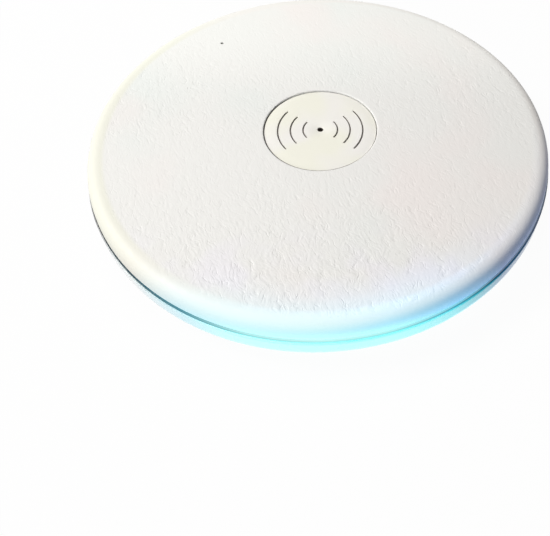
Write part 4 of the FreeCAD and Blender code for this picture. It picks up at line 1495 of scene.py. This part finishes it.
@dataclass
class CentrePlate:
    """Driven plate in the cover's middle, with arc marks and a hole.

    Groove columns are shares of a mark's width, and the groove's reach and slope are shares of half of it.
    """

    radius: float = 12.2
    top: float = 11.3
    ease: float = 0.15
    skin_low: float = 9.9
    flange_radius: float = 15.4
    flange_high: float = 9.3
    flange_low: float = 8.7
    hub_inner: float = 10.6
    boss_radius: float = 5.9
    hole: float = 0.65
    hole_ease: float = 0.12
    arcs: tuple[float, ...] = (3.75, 6.5, 9.25)
    arc_width: float = 0.29
    arc_depth: float = 0.35
    arc_half_sweep: float = 38.0
    groove_columns: tuple[float, ...] = (0.15, 0.3, 0.42, 0.55, 0.7, 0.95)
    groove_reach: float = 1.35
    groove_slope: float = 0.7
    sides: int = 720
    edge_angle: float = 40.0

    @property
    def finish(self) -> PlateFinish:
        """Its surface, with painted shade in the grooves."""
        colour = (0.865, 0.85, 0.825)
        return PlateFinish("plate_cream", colour, 0.5, grain=0.003, top=self.top, radius=self.radius)

    def groove_radii(self) -> list[float]:
        """Radii of the top's rings, close together over each groove.

        Returns:
            The radii, from the middle outwards.
        """
        before = [-column for column in reversed(self.groove_columns)]
        shares = [*before, 0.0, *self.groove_columns]
        return [arc + share * self.arc_width for arc in self.arcs for share in shares]

    def groove(self, point: Vector) -> float:
        """Depth of the grooves at a point of the top.

        Args:
            point: the point, in metres.

        Returns:
            The depth in millimetres.
        """
        radius, turn = point.xy.length / MM, abs(math.degrees(math.atan2(point.y, abs(point.x))))
        arc = min(self.arcs, key=lambda middle: abs(middle - radius))
        beyond = max(0.0, turn - self.arc_half_sweep) * math.pi / 180 * arc
        away = math.hypot(radius - arc, beyond) / (self.arc_width / 2)
        share = min(1.0, max(0.0, (self.groove_reach - away) / self.groove_slope))
        return self.arc_depth * share * share * (3 - 2 * share)

    def build(self) -> None:
        """Makes the plate."""
        section = [
            (self.hole, self.flange_low),
            *eased_corner((self.hole, self.top), self.hole_ease, 180, 90, 3),
            *[(radius, self.top) for radius in self.groove_radii()],
            *eased_corner((self.radius, self.top), self.ease, 90, 0, 4),
            (self.radius, self.flange_high),
            (self.flange_radius, self.flange_high),
            (self.flange_radius, self.flange_low),
            (self.hub_inner, self.flange_low),
            (self.hub_inner, self.skin_low),
            (self.boss_radius, self.skin_low),
            (self.boss_radius, self.flange_low),
        ]
        mesh = bmesh.new()
        spin(mesh, section, self.sides)
        for vertex in mesh.verts:
            if vertex.co.z > self.top * MM - WELD:
                vertex.co.z -= self.groove(vertex.co) * MM
        plate = finish_mesh(mesh, "sounding_plate", self.edge_angle)
        place_dressed(plate, self.finish.material(), Body.CASE, Slot.PLATE, "centre_plate")


@dataclass
class SeamRing:
    """Near-black ring between the two shells, its colour painted shade of the seam's gap, with its lip inside the
    cover's skirt.
    """

    inner: float = 46.0
    outer: float = 49.75
    low: float = 7.25
    seat: float = 8.1
    lip_outer: float = 47.3
    lip_high: float = 9.1
    ease: float = 0.08
    sides: int = 720

    def build(self, material: bpy.types.Material) -> None:
        """Makes the ring.

        Args:
            material: its finish.
        """
        section = [
            (self.inner, self.low),
            (self.outer, self.low),
            *eased_corner((self.outer, self.seat), self.ease, 0, 90, 3),
            (self.lip_outer, self.seat),
            *eased_corner((self.lip_outer, self.lip_high), self.ease, 0, 90, 3),
            (self.inner, self.lip_high),
        ]
        mesh = bmesh.new()
        spin(mesh, section, self.sides)
        place_dressed(finish_mesh(mesh, "seam_ring"), material, Body.CASE, Slot.RING, "light_ring")


class Sign(Enum):
    """Raised signs on the keys."""

    POWER = "power"
    MINUS = "minus"
    PLUS = "plus"


@dataclass
class SideKey:
    """One key in the back edge: a cap that follows the shell's curve, its flange, its stem and its sign.

    The overlap is how far the cap and the stem reach into the flange.
    """

    sign: Sign
    body: Body
    turn: float
    level: float = 4.875
    face: float = 50.4
    width: float = 7.0
    height: float = 2.2
    ease: float = 0.25
    overlap: float = 0.1
    flange_face: float = 47.2
    flange_thickness: float = 0.8
    flange_width: float = 8.8
    flange_height: float = 2.8
    flange_ease: float = 0.12
    stem_length: float = 0.4
    stem_width: float = 2.0
    stem_height: float = 1.2
    sign_size: float = 1.3
    sign_line: float = 0.26
    sign_rise: float = 0.12
    sign_sunk: float = 0.2
    sign_ease: float = 0.03
    edge_angle: float = 40.0

    def loop(self, inset: float, depth: float) -> list[Vector]:
        """A slot-shaped loop on the cap.

        Args:
            inset: how far it lies inside the cap's outline.
            depth: how far it lies behind the curved face.

        Returns:
            Its corners.
        """
        rows = slot_outline(self.width - 2 * inset, self.height - 2 * inset)
        return [
            Vector((across, math.sqrt(self.face**2 - across**2) - depth, self.level + rise))
            for across, rise in rows
        ]

    def back_loop(self) -> list[Vector]:
        """The flat loop of the cap's back, a little way into the flange.

        Returns:
            Its corners.
        """
        rows = slot_outline(self.width, self.height)
        return [
            Vector((across, self.flange_face, self.level + rise)) - Vector((0, self.overlap, 0))
            for across, rise in rows
        ]

    def bar(self, mesh: bmesh.types.BMesh, width: float, height: float, rise: float = 0.0) -> None:
        """Adds a straight stroke of the sign, its middle raised above the cap's by rise."""
        depth = (self.face - self.sign_sunk, self.face + self.sign_rise)
        middle_block(mesh, (width, height), self.level + rise, depth, self.sign_ease)

    def open_ring(self, mesh: bmesh.types.BMesh, gap: float = 38.0, steps: int = 30) -> None:
        """Adds the power sign's ring, open at the top.

        Args:
            mesh: the mesh to add to.
            gap: how far it is open each way, in degrees.
            steps: how many parts it has.
        """
        outer, inner = self.sign_size / 2, self.sign_size / 2 - self.sign_line
        section = [(outer, -self.sign_sunk), (outer, self.sign_rise)]
        section += [(inner, self.sign_rise), (inner, -self.sign_sunk)]
        loops = []
        for n in range(steps + 1):
            turn = math.radians(90 + gap + (360 - 2 * gap) * n / steps)
            loops.append(
                [
                    Vector((r * math.cos(turn), self.face + out, self.level + r * math.sin(turn)))
                    for r, out in section
                ]
            )
        loft(mesh, loops)

    def add_sign(self, mesh: bmesh.types.BMesh) -> None:
        """Adds the sign.

        Args:
            mesh: the mesh to add to.
        """
        if self.sign is Sign.POWER:
            self.open_ring(mesh)
            self.bar(mesh, self.sign_line, self.sign_size / 2, self.sign_size / 3)
            return
        self.bar(mesh, self.sign_size, self.sign_line)
        if self.sign is Sign.PLUS:
            self.bar(mesh, self.sign_line, self.sign_size)

    def build(self, material: bpy.types.Material) -> None:
        """Makes the key.

        Args:
            material: its finish.
        """
        mesh = bmesh.new()
        near_edge = self.ease * EASE_MIDDLE
        front = [(0.0, self.ease), (near_edge, near_edge), (self.ease, 0.0)]
        loft(mesh, [self.back_loop(), *(self.loop(inset, depth) for inset, depth in front)])
        back = self.flange_face - self.flange_thickness
        flange, stem = (self.flange_width, self.flange_height), (self.stem_width, self.stem_height)
        middle_block(mesh, flange, self.level, (back, self.flange_face), self.flange_ease)
        middle_block(mesh, stem, self.level, (back - self.stem_length, back + self.overlap))
        self.add_sign(mesh)
        turn_about_axis(mesh, self.turn)
        key = finish_mesh(mesh, f"cap_{self.sign.value}", self.edge_angle)
        place_dressed(key, material, self.body, Slot.KEY, f"key_{self.sign.value}")


@dataclass
class ChargingSocket:
    """Charging socket in the back edge: a folded metal shell, its moulded core, and the gilt contacts."""

    width: float = 8.94
    height: float = 3.16
    wall: float = 0.3
    front: float = 49.05
    length: float = 7.3
    level: float = 4.38
    lip_ease: float = 0.12
    tab_level: float = 4.075
    tab_thickness: float = 0.3
    tab_inside: float = 4.32
    tab_outside: float = 5.47
    tab_back: float = 42.45
    tab_depth: float = 1.6
    core_gap: float = 0.02
    core_depth: float = 2.0
    tongue_width: float = 6.7
    tongue_height: float = 0.7
    tongue_inset: float = 0.8
    tongue_ease: float = 0.15
    contact_count: int = 12
    contact_pitch: float = 0.5
    contact_width: float = 0.3
    contact_length: float = 3.3
    contact_thickness: float = 0.1
    contact_inset: float = 0.15
    contact_ease: float = 0.03

    @property
    def back(self) -> float:
        """How far back the socket's inner end lies."""
        return self.front - self.length

    def loop(self, inset: float, y: float) -> list[Vector]:
        """The socket's outline at a depth, drawn in by inset."""
        rows = slot_outline(self.width - 2 * inset, self.height - 2 * inset)
        return [Vector((across, y, self.level + rise)) for across, rise in rows]

    def build_shell(self, material: bpy.types.Material) -> None:
        """Makes the metal shell with its rolled lip and two tabs.

        Args:
            material: its finish.
        """
        near_edge = self.lip_ease * EASE_MIDDLE
        lip = (
            (0.0, self.back),
            (0.0, self.front - self.lip_ease),
            (near_edge, self.front - near_edge),
            (self.wall / 2, self.front),
            (self.wall - near_edge, self.front - near_edge),
            (self.wall, self.front - self.lip_ease),
            (self.wall, self.back),
        )
        mesh = bmesh.new()
        loft(mesh, [self.loop(inset, y) for inset, y in lip], ring=True)
        for side in (-1, 1):
            near, far = sorted((side * self.tab_inside, side * self.tab_outside))
            low = (near, self.tab_back, self.tab_level)
            block(mesh, low, (far, self.tab_back + self.tab_depth, self.tab_level + self.tab_thickness))
        shell = finish_mesh(mesh, "socket_shell")
        place_dressed(shell, material, Body.CASE, Slot.METAL, "port_shell")

    def build_core(self, material: bpy.types.Material) -> None:
        """Makes the core with its tongue.

        Args:
            material: its finish.
        """
        mesh = bmesh.new()
        inset = self.wall + self.core_gap
        loft(mesh, [self.loop(inset, self.back), self.loop(inset, self.back + self.core_depth)])
        depth = (self.back + self.core_depth / 2, self.front - self.tongue_inset)
        middle_block(mesh, (self.tongue_width, self.tongue_height), self.level, depth, self.tongue_ease)
        core = finish_mesh(mesh, "socket_core")
        place_dressed(core, material, Body.CASE, Slot.MOULDED, "port_core")

    def build_contacts(self, material: bpy.types.Material) -> None:
        """Makes the two rows of contacts on the tongue.

        Args:
            material: their finish.
        """
        half = (self.contact_width / 2, self.contact_thickness / 2, self.contact_length / 2)
        mesh = bmesh.new()
        block(mesh, [-size for size in half], half, self.contact_ease)
        contacts = finish_mesh(mesh, "socket_contacts")
        span = self.contact_pitch * (self.contact_count - 1)
        tree = GeometryTree("contact_rows", {"Span": span * MM, "Thickness": self.tongue_height * MM})
        rows = tree.grid_of_copies("Span", "Thickness", self.contact_count, 2)
        middle = self.front - self.tongue_inset - self.contact_length / 2 - self.contact_inset
        stood = tree.graph.value(
            "GeometryNodeTransform",
            None,
            {
                "Geometry": rows,
                "Rotation": (math.radians(90), 0.0, 0.0),
                "Translation": (0.0, middle * MM, self.level * MM),
            },
        )
        tree.run(contacts, stood, material)
        place(contacts, Body.CASE, Slot.GILT)


@dataclass
class Feet:
    """Four rubber feet with two tread rings each, in the shell's seats."""

    radius: float = 4.0
    high: float = 1.6
    ease: float = 0.4
    treads: tuple[float, ...] = (1.3, 2.6)
    tread_width: float = 0.45
    tread_depth: float = 0.25
    tread_slope: float = 0.09
    sides: int = 72

    def section(self) -> list[Point2]:
        """Corners of a foot's section, from the axis outwards and back over the top.

        Returns:
            The corners.
        """
        corners = [(0, 0)]
        for tread in self.treads:
            near, far = tread - self.tread_width / 2, tread + self.tread_width / 2
            floor = [(near + self.tread_slope, self.tread_depth), (far - self.tread_slope, self.tread_depth)]
            corners += [(near, 0), *floor, (far, 0)]
        edge = eased_corner((self.radius, 0), self.ease, -90, 0, 5)
        return [*corners, *edge, (self.radius, self.high), (0, self.high)]

    def build(self, material: bpy.types.Material) -> None:
        """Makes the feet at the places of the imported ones.

        Args:
            material: their finish.
        """
        mesh = bmesh.new()
        spin(mesh, self.section(), self.sides)
        feet = finish_mesh(mesh, "rubber_feet")
        across, along = (abs(value) * 2 * MM for value in centre_of(FEET[0]))
        tree = GeometryTree("foot_places", {"Across": across, "Along": along})
        tree.run(feet, tree.grid_of_copies("Across", "Along", 2, 2), material)
        place(feet, Body.CASE, Slot.FOOT, *FEET)


@dataclass
class VoiceCoil:
    """Coil of copper wire on the plate's boss, wound in even rows; a row shows its sweep each way."""

    wall: float = 0.95
    wire: float = 0.26
    wire_sweep: float = 75.0
    sides: int = 96
    edge_angle: float = 40.0

    def build(self, material: bpy.types.Material) -> None:
        """Makes the coil with its rows of wire.

        Args:
            material: its finish.
        """
        low, high = (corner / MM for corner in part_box("voice_coil"))
        outer = high.x
        rows = round((high.z - low.z) / self.wire)
        pitch = (high.z - low.z) / rows
        section = [(outer - self.wall, low.z)]
        for row in range(rows):
            middle = (outer - pitch / 2, low.z + (row + 0.5) * pitch)
            section += ring_section(middle, pitch / 2, -self.wire_sweep, self.wire_sweep, 6)
        section.append((outer - self.wall, high.z))
        mesh = bmesh.new()
        spin(mesh, section, self.sides)
        coil = finish_mesh(mesh, "wound_coil", self.edge_angle)
        place_dressed(coil, material, Body.CASE, Slot.COPPER, "voice_coil")


# Stage


@dataclass(frozen=True)
class Camera:
    """The photograph's view, fitted to the disc's outline, its seam and its centre plate."""

    azimuth: float = 2.584
    elevation: float = 45.039
    distance: float = 150.957
    aim_height: float = 7.4
    yaw: float = -3.271
    pitch: float = -8.027
    roll: float = 2.461
    focal_px: float = 671.852
    centre_x_px: float = 364.0
    centre_y_px: float = 235.0
    clip_start: float = 0.01
    frame_width_px: float = 550.0
    frame_height_px: float = 536.0

    def build(self) -> None:
        """Makes the camera and the scene uses it."""
        azimuth, elevation = math.radians(self.azimuth), math.radians(self.elevation)
        back = Vector(
            (
                math.sin(azimuth) * math.cos(elevation),
                -math.cos(azimuth) * math.cos(elevation),
                math.sin(elevation),
            )
        )
        right = Vector((math.cos(azimuth), math.sin(azimuth), 0.0))
        up = back.cross(right)
        yaw = Quaternion(up, math.radians(self.yaw))
        look = Quaternion(right, math.radians(self.pitch)) @ (yaw @ -back)
        right = yaw @ right
        roll = Quaternion(look, math.radians(self.roll))
        across, upward = roll @ right, roll @ right.cross(look)
        data = bpy.data.cameras.new("photo_view")
        data.lens = self.focal_px * data.sensor_width / self.frame_width_px
        data.shift_x = (self.frame_width_px / 2 - self.centre_x_px) / self.frame_width_px
        data.shift_y = (self.centre_y_px - self.frame_height_px / 2) / self.frame_width_px
        data.clip_start = self.clip_start
        camera = new_object("photo_view", data)
        turn = Matrix((across, upward, -look)).transposed().to_4x4()
        where = back * (self.distance * MM) + Vector((0.0, 0.0, self.aim_height * MM))
        camera.matrix_world = Matrix.Translation(where) @ turn
        bpy.context.scene.camera = camera


@dataclass(frozen=True)
class Lamp:
    """One soft lamp of the studio."""

    name: str
    place: tuple[float, float, float]
    size: float
    power: float
    colour: Colour = (1.0, 1.0, 1.0)
    mirrored: bool = True

    def build(self) -> None:
        """Makes the lamp, turned to the object; one that isn't mirrored leaves no shine on a surface."""
        data = bpy.data.lights.new(self.name, "AREA")
        data.shape = "DISK"
        data.size = self.size
        data.energy = self.power
        data.color = self.colour
        lamp = new_object(self.name, data)
        lamp.location = self.place
        lamp.rotation_mode = "QUATERNION"
        lamp.rotation_quaternion = Vector(self.place).to_track_quat("Z", "Y")
        lamp.visible_glossy = self.mirrored


@dataclass(frozen=True)
class Studio:
    """Pale floor, pale surroundings and soft lamps."""

    floor_size: float = 3.0
    floor_white: float = 0.80
    floor_bounce: float = 0.25
    floor_fill: float = 0.965
    world_strength: float = 0.05
    lamps: tuple[Lamp, ...] = (
        Lamp("key", (-0.50, 0.10, 0.55), 0.30, 3.9, (1.0, 0.98, 0.94)),
        Lamp("overhead", (-0.10, 0.32, 0.58), 0.40, 1.7, (1.0, 0.99, 0.97)),
        Lamp("front_fill", (-0.42, -0.55, 0.19), 0.30, 2.0, mirrored=False),
    )

    def background(self, graph: Graph) -> Value:
        """Picks out the rays that show the surroundings themselves.

        Args:
            graph: the tree to build in.

        Returns:
            1 for such a ray, 0 for one that only lights something.
        """
        path = graph.node("ShaderNodeLightPath")
        kinds = ("Is Camera Ray", "Is Glossy Ray", "Is Transmission Ray")
        camera, glossy, clear = (Value(graph, path.outputs[kind]) for kind in kinds)
        return camera.math("MAXIMUM", glossy).math("MAXIMUM", clear)

    def build_floor(self) -> None:
        """Makes the floor."""
        mesh = bmesh.new()
        bmesh.ops.create_grid(mesh, x_segments=1, y_segments=1, size=self.floor_size / 2)
        data = bpy.data.meshes.new("floor")
        mesh.to_mesh(data)
        mesh.free()
        made = bpy.data.materials.new("floor_paper")
        graph = new_graph(made)
        seen = self.background(graph)
        shade = graph.mix(seen, (self.floor_bounce,) * 3, (self.floor_white,) * 3)
        matt = graph.value("ShaderNodeBsdfDiffuse", None, {"Color": shade})
        white = graph.value("ShaderNodeEmission", None, {"Color": (*WHITE, 1.0), "Strength": 1.0})
        both = graph.value("ShaderNodeMixShader", None, {0: seen * self.floor_fill, 1: matt, 2: white})
        graph.node("ShaderNodeOutputMaterial", None, {"Surface": both})
        data.materials.append(made)
        new_object("floor", data)

    def build_world(self) -> None:
        """Makes the surroundings."""
        world = bpy.data.worlds.new("studio")
        bpy.context.scene.world = world
        graph = new_graph(world)
        strength = self.world_strength + self.background(graph) * (1.0 - self.world_strength)
        light = graph.value("ShaderNodeBackground", None, {"Color": (*WHITE, 1.0), "Strength": strength})
        graph.node("ShaderNodeOutputWorld", None, {"Surface": light})

    def build(self) -> None:
        """Makes the whole stage."""
        self.build_floor()
        self.build_world()
        for lamp in self.lamps:
            lamp.build()
        bpy.context.scene.view_settings.view_transform = "Standard"


# Finishes of this speaker's pieces

# Painted glows: emitted colour by bearing that stands in for lamps shining through the mouldings.
RIM_GLOW = PaintedLightAndShade(
    (
        (-60.0, DARK),
        (-45.0, (0.06, 0.05, 0.05)),
        (-30.0, (0.045, 0.20, 0.25)),
        (-15.0, (0.09, 0.38, 0.43)),
        (0.0, (0.14, 0.50, 0.56)),
        (15.0, (0.13, 0.52, 0.70)),
        (30.0, (0.045, 0.29, 0.51)),
        (45.0, (0.025, 0.08, 0.20)),
        (60.0, (0.015, 0.055, 0.15)),
        (80.0, (0.0, 0.01, 0.06)),
        (95.0, DARK),
    )
)
# Painted light spill on the leather near the front of the rim.
LEATHER_LIGHT_SPILL = PaintedLightAndShade(
    (
        (-30.0, DARK),
        (-15.0, (0.0, 0.04, 0.08)),
        (0.0, (0.0, 0.07, 0.13)),
        (15.0, (0.0, 0.09, 0.19)),
        (30.0, (0.0, 0.05, 0.12)),
        (45.0, (0.0, 0.0, 0.03)),
        (60.0, DARK),
    )
)
# Painted glow of the lower shell.
SHELL_GLOW = PaintedLightAndShade(
    (
        (-60.0, DARK),
        (-45.0, (0.07, 0.08, 0.08)),
        (-30.0, (0.02, 0.24, 0.30)),
        (-15.0, (0.10, 0.56, 0.56)),
        (0.0, (0.15, 0.66, 0.66)),
        (15.0, (0.16, 0.70, 0.69)),
        (30.0, (0.05, 0.54, 0.60)),
        (45.0, (0.02, 0.09, 0.18)),
        (60.0, (0.0, 0.02, 0.07)),
        (80.0, DARK),
    )
)
# Painted glow of the ring in the seam.
SEAM_GLOW = PaintedLightAndShade(
    (
        (-45.0, DARK),
        (-30.0, (0.05, 0.22, 0.28)),
        (-15.0, (0.30, 0.72, 0.73)),
        (0.0, (0.40, 0.86, 0.84)),
        (15.0, (0.30, 0.78, 0.80)),
        (30.0, (0.06, 0.32, 0.44)),
        (42.0, (0.0, 0.01, 0.04)),
        (60.0, DARK),
    )
)
# Painted light along the ring's upper edge, from the rim above it.
LIP_GLOW = PaintedLightAndShade(
    (
        (-60.0, DARK),
        (-45.0, (0.0, 0.05, 0.08)),
        (-30.0, (0.02, 0.05, 0.06)),
        (-15.0, (0.16, 0.14, 0.13)),
        (0.0, (0.16, 0.08, 0.08)),
        (15.0, (0.16, 0.14, 0.10)),
        (30.0, (0.16, 0.32, 0.32)),
        (45.0, (0.12, 0.18, 0.26)),
        (60.0, (0.14, 0.18, 0.24)),
        (75.0, (0.12, 0.15, 0.18)),
        (95.0, DARK),
    )
)
# Painted shade: factors that darken the shell's colour, grey and blue.
GREY_PAINTED_SHADE = (0.30, 0.30, 0.31)
BLUE_PAINTED_SHADE = (0.12, 0.16, 0.24)
# Painted light low on the shell's wall.
LOW_PAINTED_LIGHT = (0.34, 0.36, 0.38)
# Painted shade along the shell's upper edge, grey on the left and blue on the right.
SHELL_EDGE_SHADE = PaintedLightAndShade(
    (
        (-135.0, WHITE),
        (-110.0, GREY_PAINTED_SHADE),
        (-65.0, GREY_PAINTED_SHADE),
        (-48.0, WHITE),
        (28.0, WHITE),
        (42.0, BLUE_PAINTED_SHADE),
        (68.0, BLUE_PAINTED_SHADE),
        (80.0, (0.6, 0.62, 0.66)),
        (135.0, WHITE),
    )
)
# Painted shade down the upper half of the shell's wall on the right.
SHELL_WALL_SHADE = PaintedLightAndShade(
    (
        (26.0, WHITE),
        (42.0, (0.37, 0.45, 0.59)),
        (75.0, (0.46, 0.52, 0.66)),
        (105.0, (0.55, 0.60, 0.68)),
        (135.0, WHITE),
    )
)
# Painted light in the lower half of the shell's wall on the right.
SHELL_LOW_GLOW = PaintedLightAndShade(((28.0, DARK), (40.0, LOW_PAINTED_LIGHT), (52.0, LOW_PAINTED_LIGHT), (64.0, DARK)))
COVER = CoverFinish(
    "cover_white", (0.82, 0.818, 0.806), 0.52, glow=RIM_GLOW, light_spill_glow=LEATHER_LIGHT_SPILL, top=TopCover.top
)
SHELL = ShellFinish(
    "shell_white",
    (0.84, 0.86, 0.88),
    0.28,
    grain=0.0,
    coat=0.4,
    glow=SHELL_GLOW,
    mottle=0.015,
    edge_shade=SHELL_EDGE_SHADE,
    wall_shade=SHELL_WALL_SHADE,
    low_glow=SHELL_LOW_GLOW,
)
# The ring's near-black colour is painted shade of the seam's gap.
RING = RingFinish(
    "smoked_ring", (0.010, 0.012, 0.014), 0.5, grain=0.0, specular=0.12, glow=SEAM_GLOW, edge=LIP_GLOW
)
KEY = KeyFinish("key_white", (0.82, 0.82, 0.81), 0.42, face=SideKey.face)
GILT = Finish("contact_gilt", (0.90, 0.68, 0.32), 0.22, 1.0)
NODE_FINISHES = {
    "inner_plastic": Finish("inner_plastic", (0.02, 0.02, 0.022), 0.5),
    "plug_plastic": Finish("plug_plastic", (0.78, 0.75, 0.66), 0.4),
    "plunger": Finish("plunger", (0.30, 0.08, 0.04), 0.45),
    "foam": Finish("foam", (0.03, 0.03, 0.03), 0.95, grain=0.08, grain_scale=1500.0),
    "foot_rubber": Finish("foot_rubber", (0.36, 0.37, 0.38), 0.75, grain=0.01),
    "board_green": BoardFinish("board_green", (0.012, 0.11, 0.04), 0.3, coat=0.3),
    "strip_white": Finish("strip_white", (0.80, 0.80, 0.76), 0.35),
    "lamp": Finish("lamp", (0.80, 0.82, 0.50), 0.15, coat=0.6),
    "chip_black": Finish("chip_black", (0.025, 0.025, 0.027), 0.55, grain=0.006),
    "screw_steel": BrushedFinish("screw_steel", (0.60, 0.60, 0.62), 0.32, 1.0),
    "spring_steel": BrushedFinish("spring_steel", (0.63, 0.63, 0.65), 0.28, 1.0),
    "magnet": Finish("magnet", (0.66, 0.66, 0.68), 0.16, 1.0),
    "copper": Finish("copper", (0.72, 0.33, 0.16), 0.3, 1.0),
    "cell_foil": BrushedFinish("cell_foil", (0.72, 0.73, 0.75), 0.35, 1.0, grain=0.01),
    "microphone_case": Finish("microphone_case", (0.80, 0.62, 0.28), 0.25, 1.0),
    "lead_red": Finish("lead_red", (0.50, 0.02, 0.015), 0.4),
    "lead_black": Finish("lead_black", (0.02, 0.02, 0.02), 0.4),
}


KEYS = ((Sign.POWER, Body.POWER), (Sign.MINUS, Body.MINUS), (Sign.PLUS, Body.PLUS))


def bearing_of_joint(body: Body) -> float:
    """Bearing of the key that rides on a body.

    Args:
        body: the key's body.

    Returns:
        Degrees from the back, anticlockwise from above.
    """
    joint = next(joint for joint in frame["joints"] if joint["child"] == body.value)
    x, y, _ = joint["axis"]
    return math.degrees(math.atan2(x, -y))


def dress_nodes(made: dict[str, bpy.types.Material]) -> None:
    """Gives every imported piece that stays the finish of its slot.

    Args:
        made: the materials by slot.
    """
    slots = {row["node"]: row["material_slot"] for row in frame["record"]["subparts"]}
    for name, node in frame["nodes"].items():
        material = made.get(slots[name])
        if material is None:
            continue
        if node.material_slots:
            node.material_slots[0].material = material
        else:
            node.data.materials.append(material)


def main() -> None:
    """Builds the stage and every piece."""
    logging.basicConfig(level=logging.INFO, format="%(name)s: %(message)s")
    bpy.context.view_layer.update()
    Camera().build()
    Studio().build()
    made = {name: finish.material() for name, finish in NODE_FINISHES.items()}
    dress_nodes(made)
    TopCover().build(COVER.material(), COVER.leather)
    CentrePlate().build()
    shell = node_copy("bottom_shell", "lower_shell")
    place_dressed(shell, SHELL.material(), Body.CASE, Slot.SHELL, "bottom_shell")
    SeamRing().build(RING.material())
    key_material = KEY.material()
    for sign, body in KEYS:
        SideKey(sign, body, bearing_of_joint(body)).build(key_material)
    socket = ChargingSocket()
    socket.build_shell(made["spring_steel"])
    socket.build_core(made["inner_plastic"])
    socket.build_contacts(GILT.material())
    Feet().build(made["foot_rubber"])
    VoiceCoil().build(made["copper"])
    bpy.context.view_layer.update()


if __name__ == "__main__":
    main()
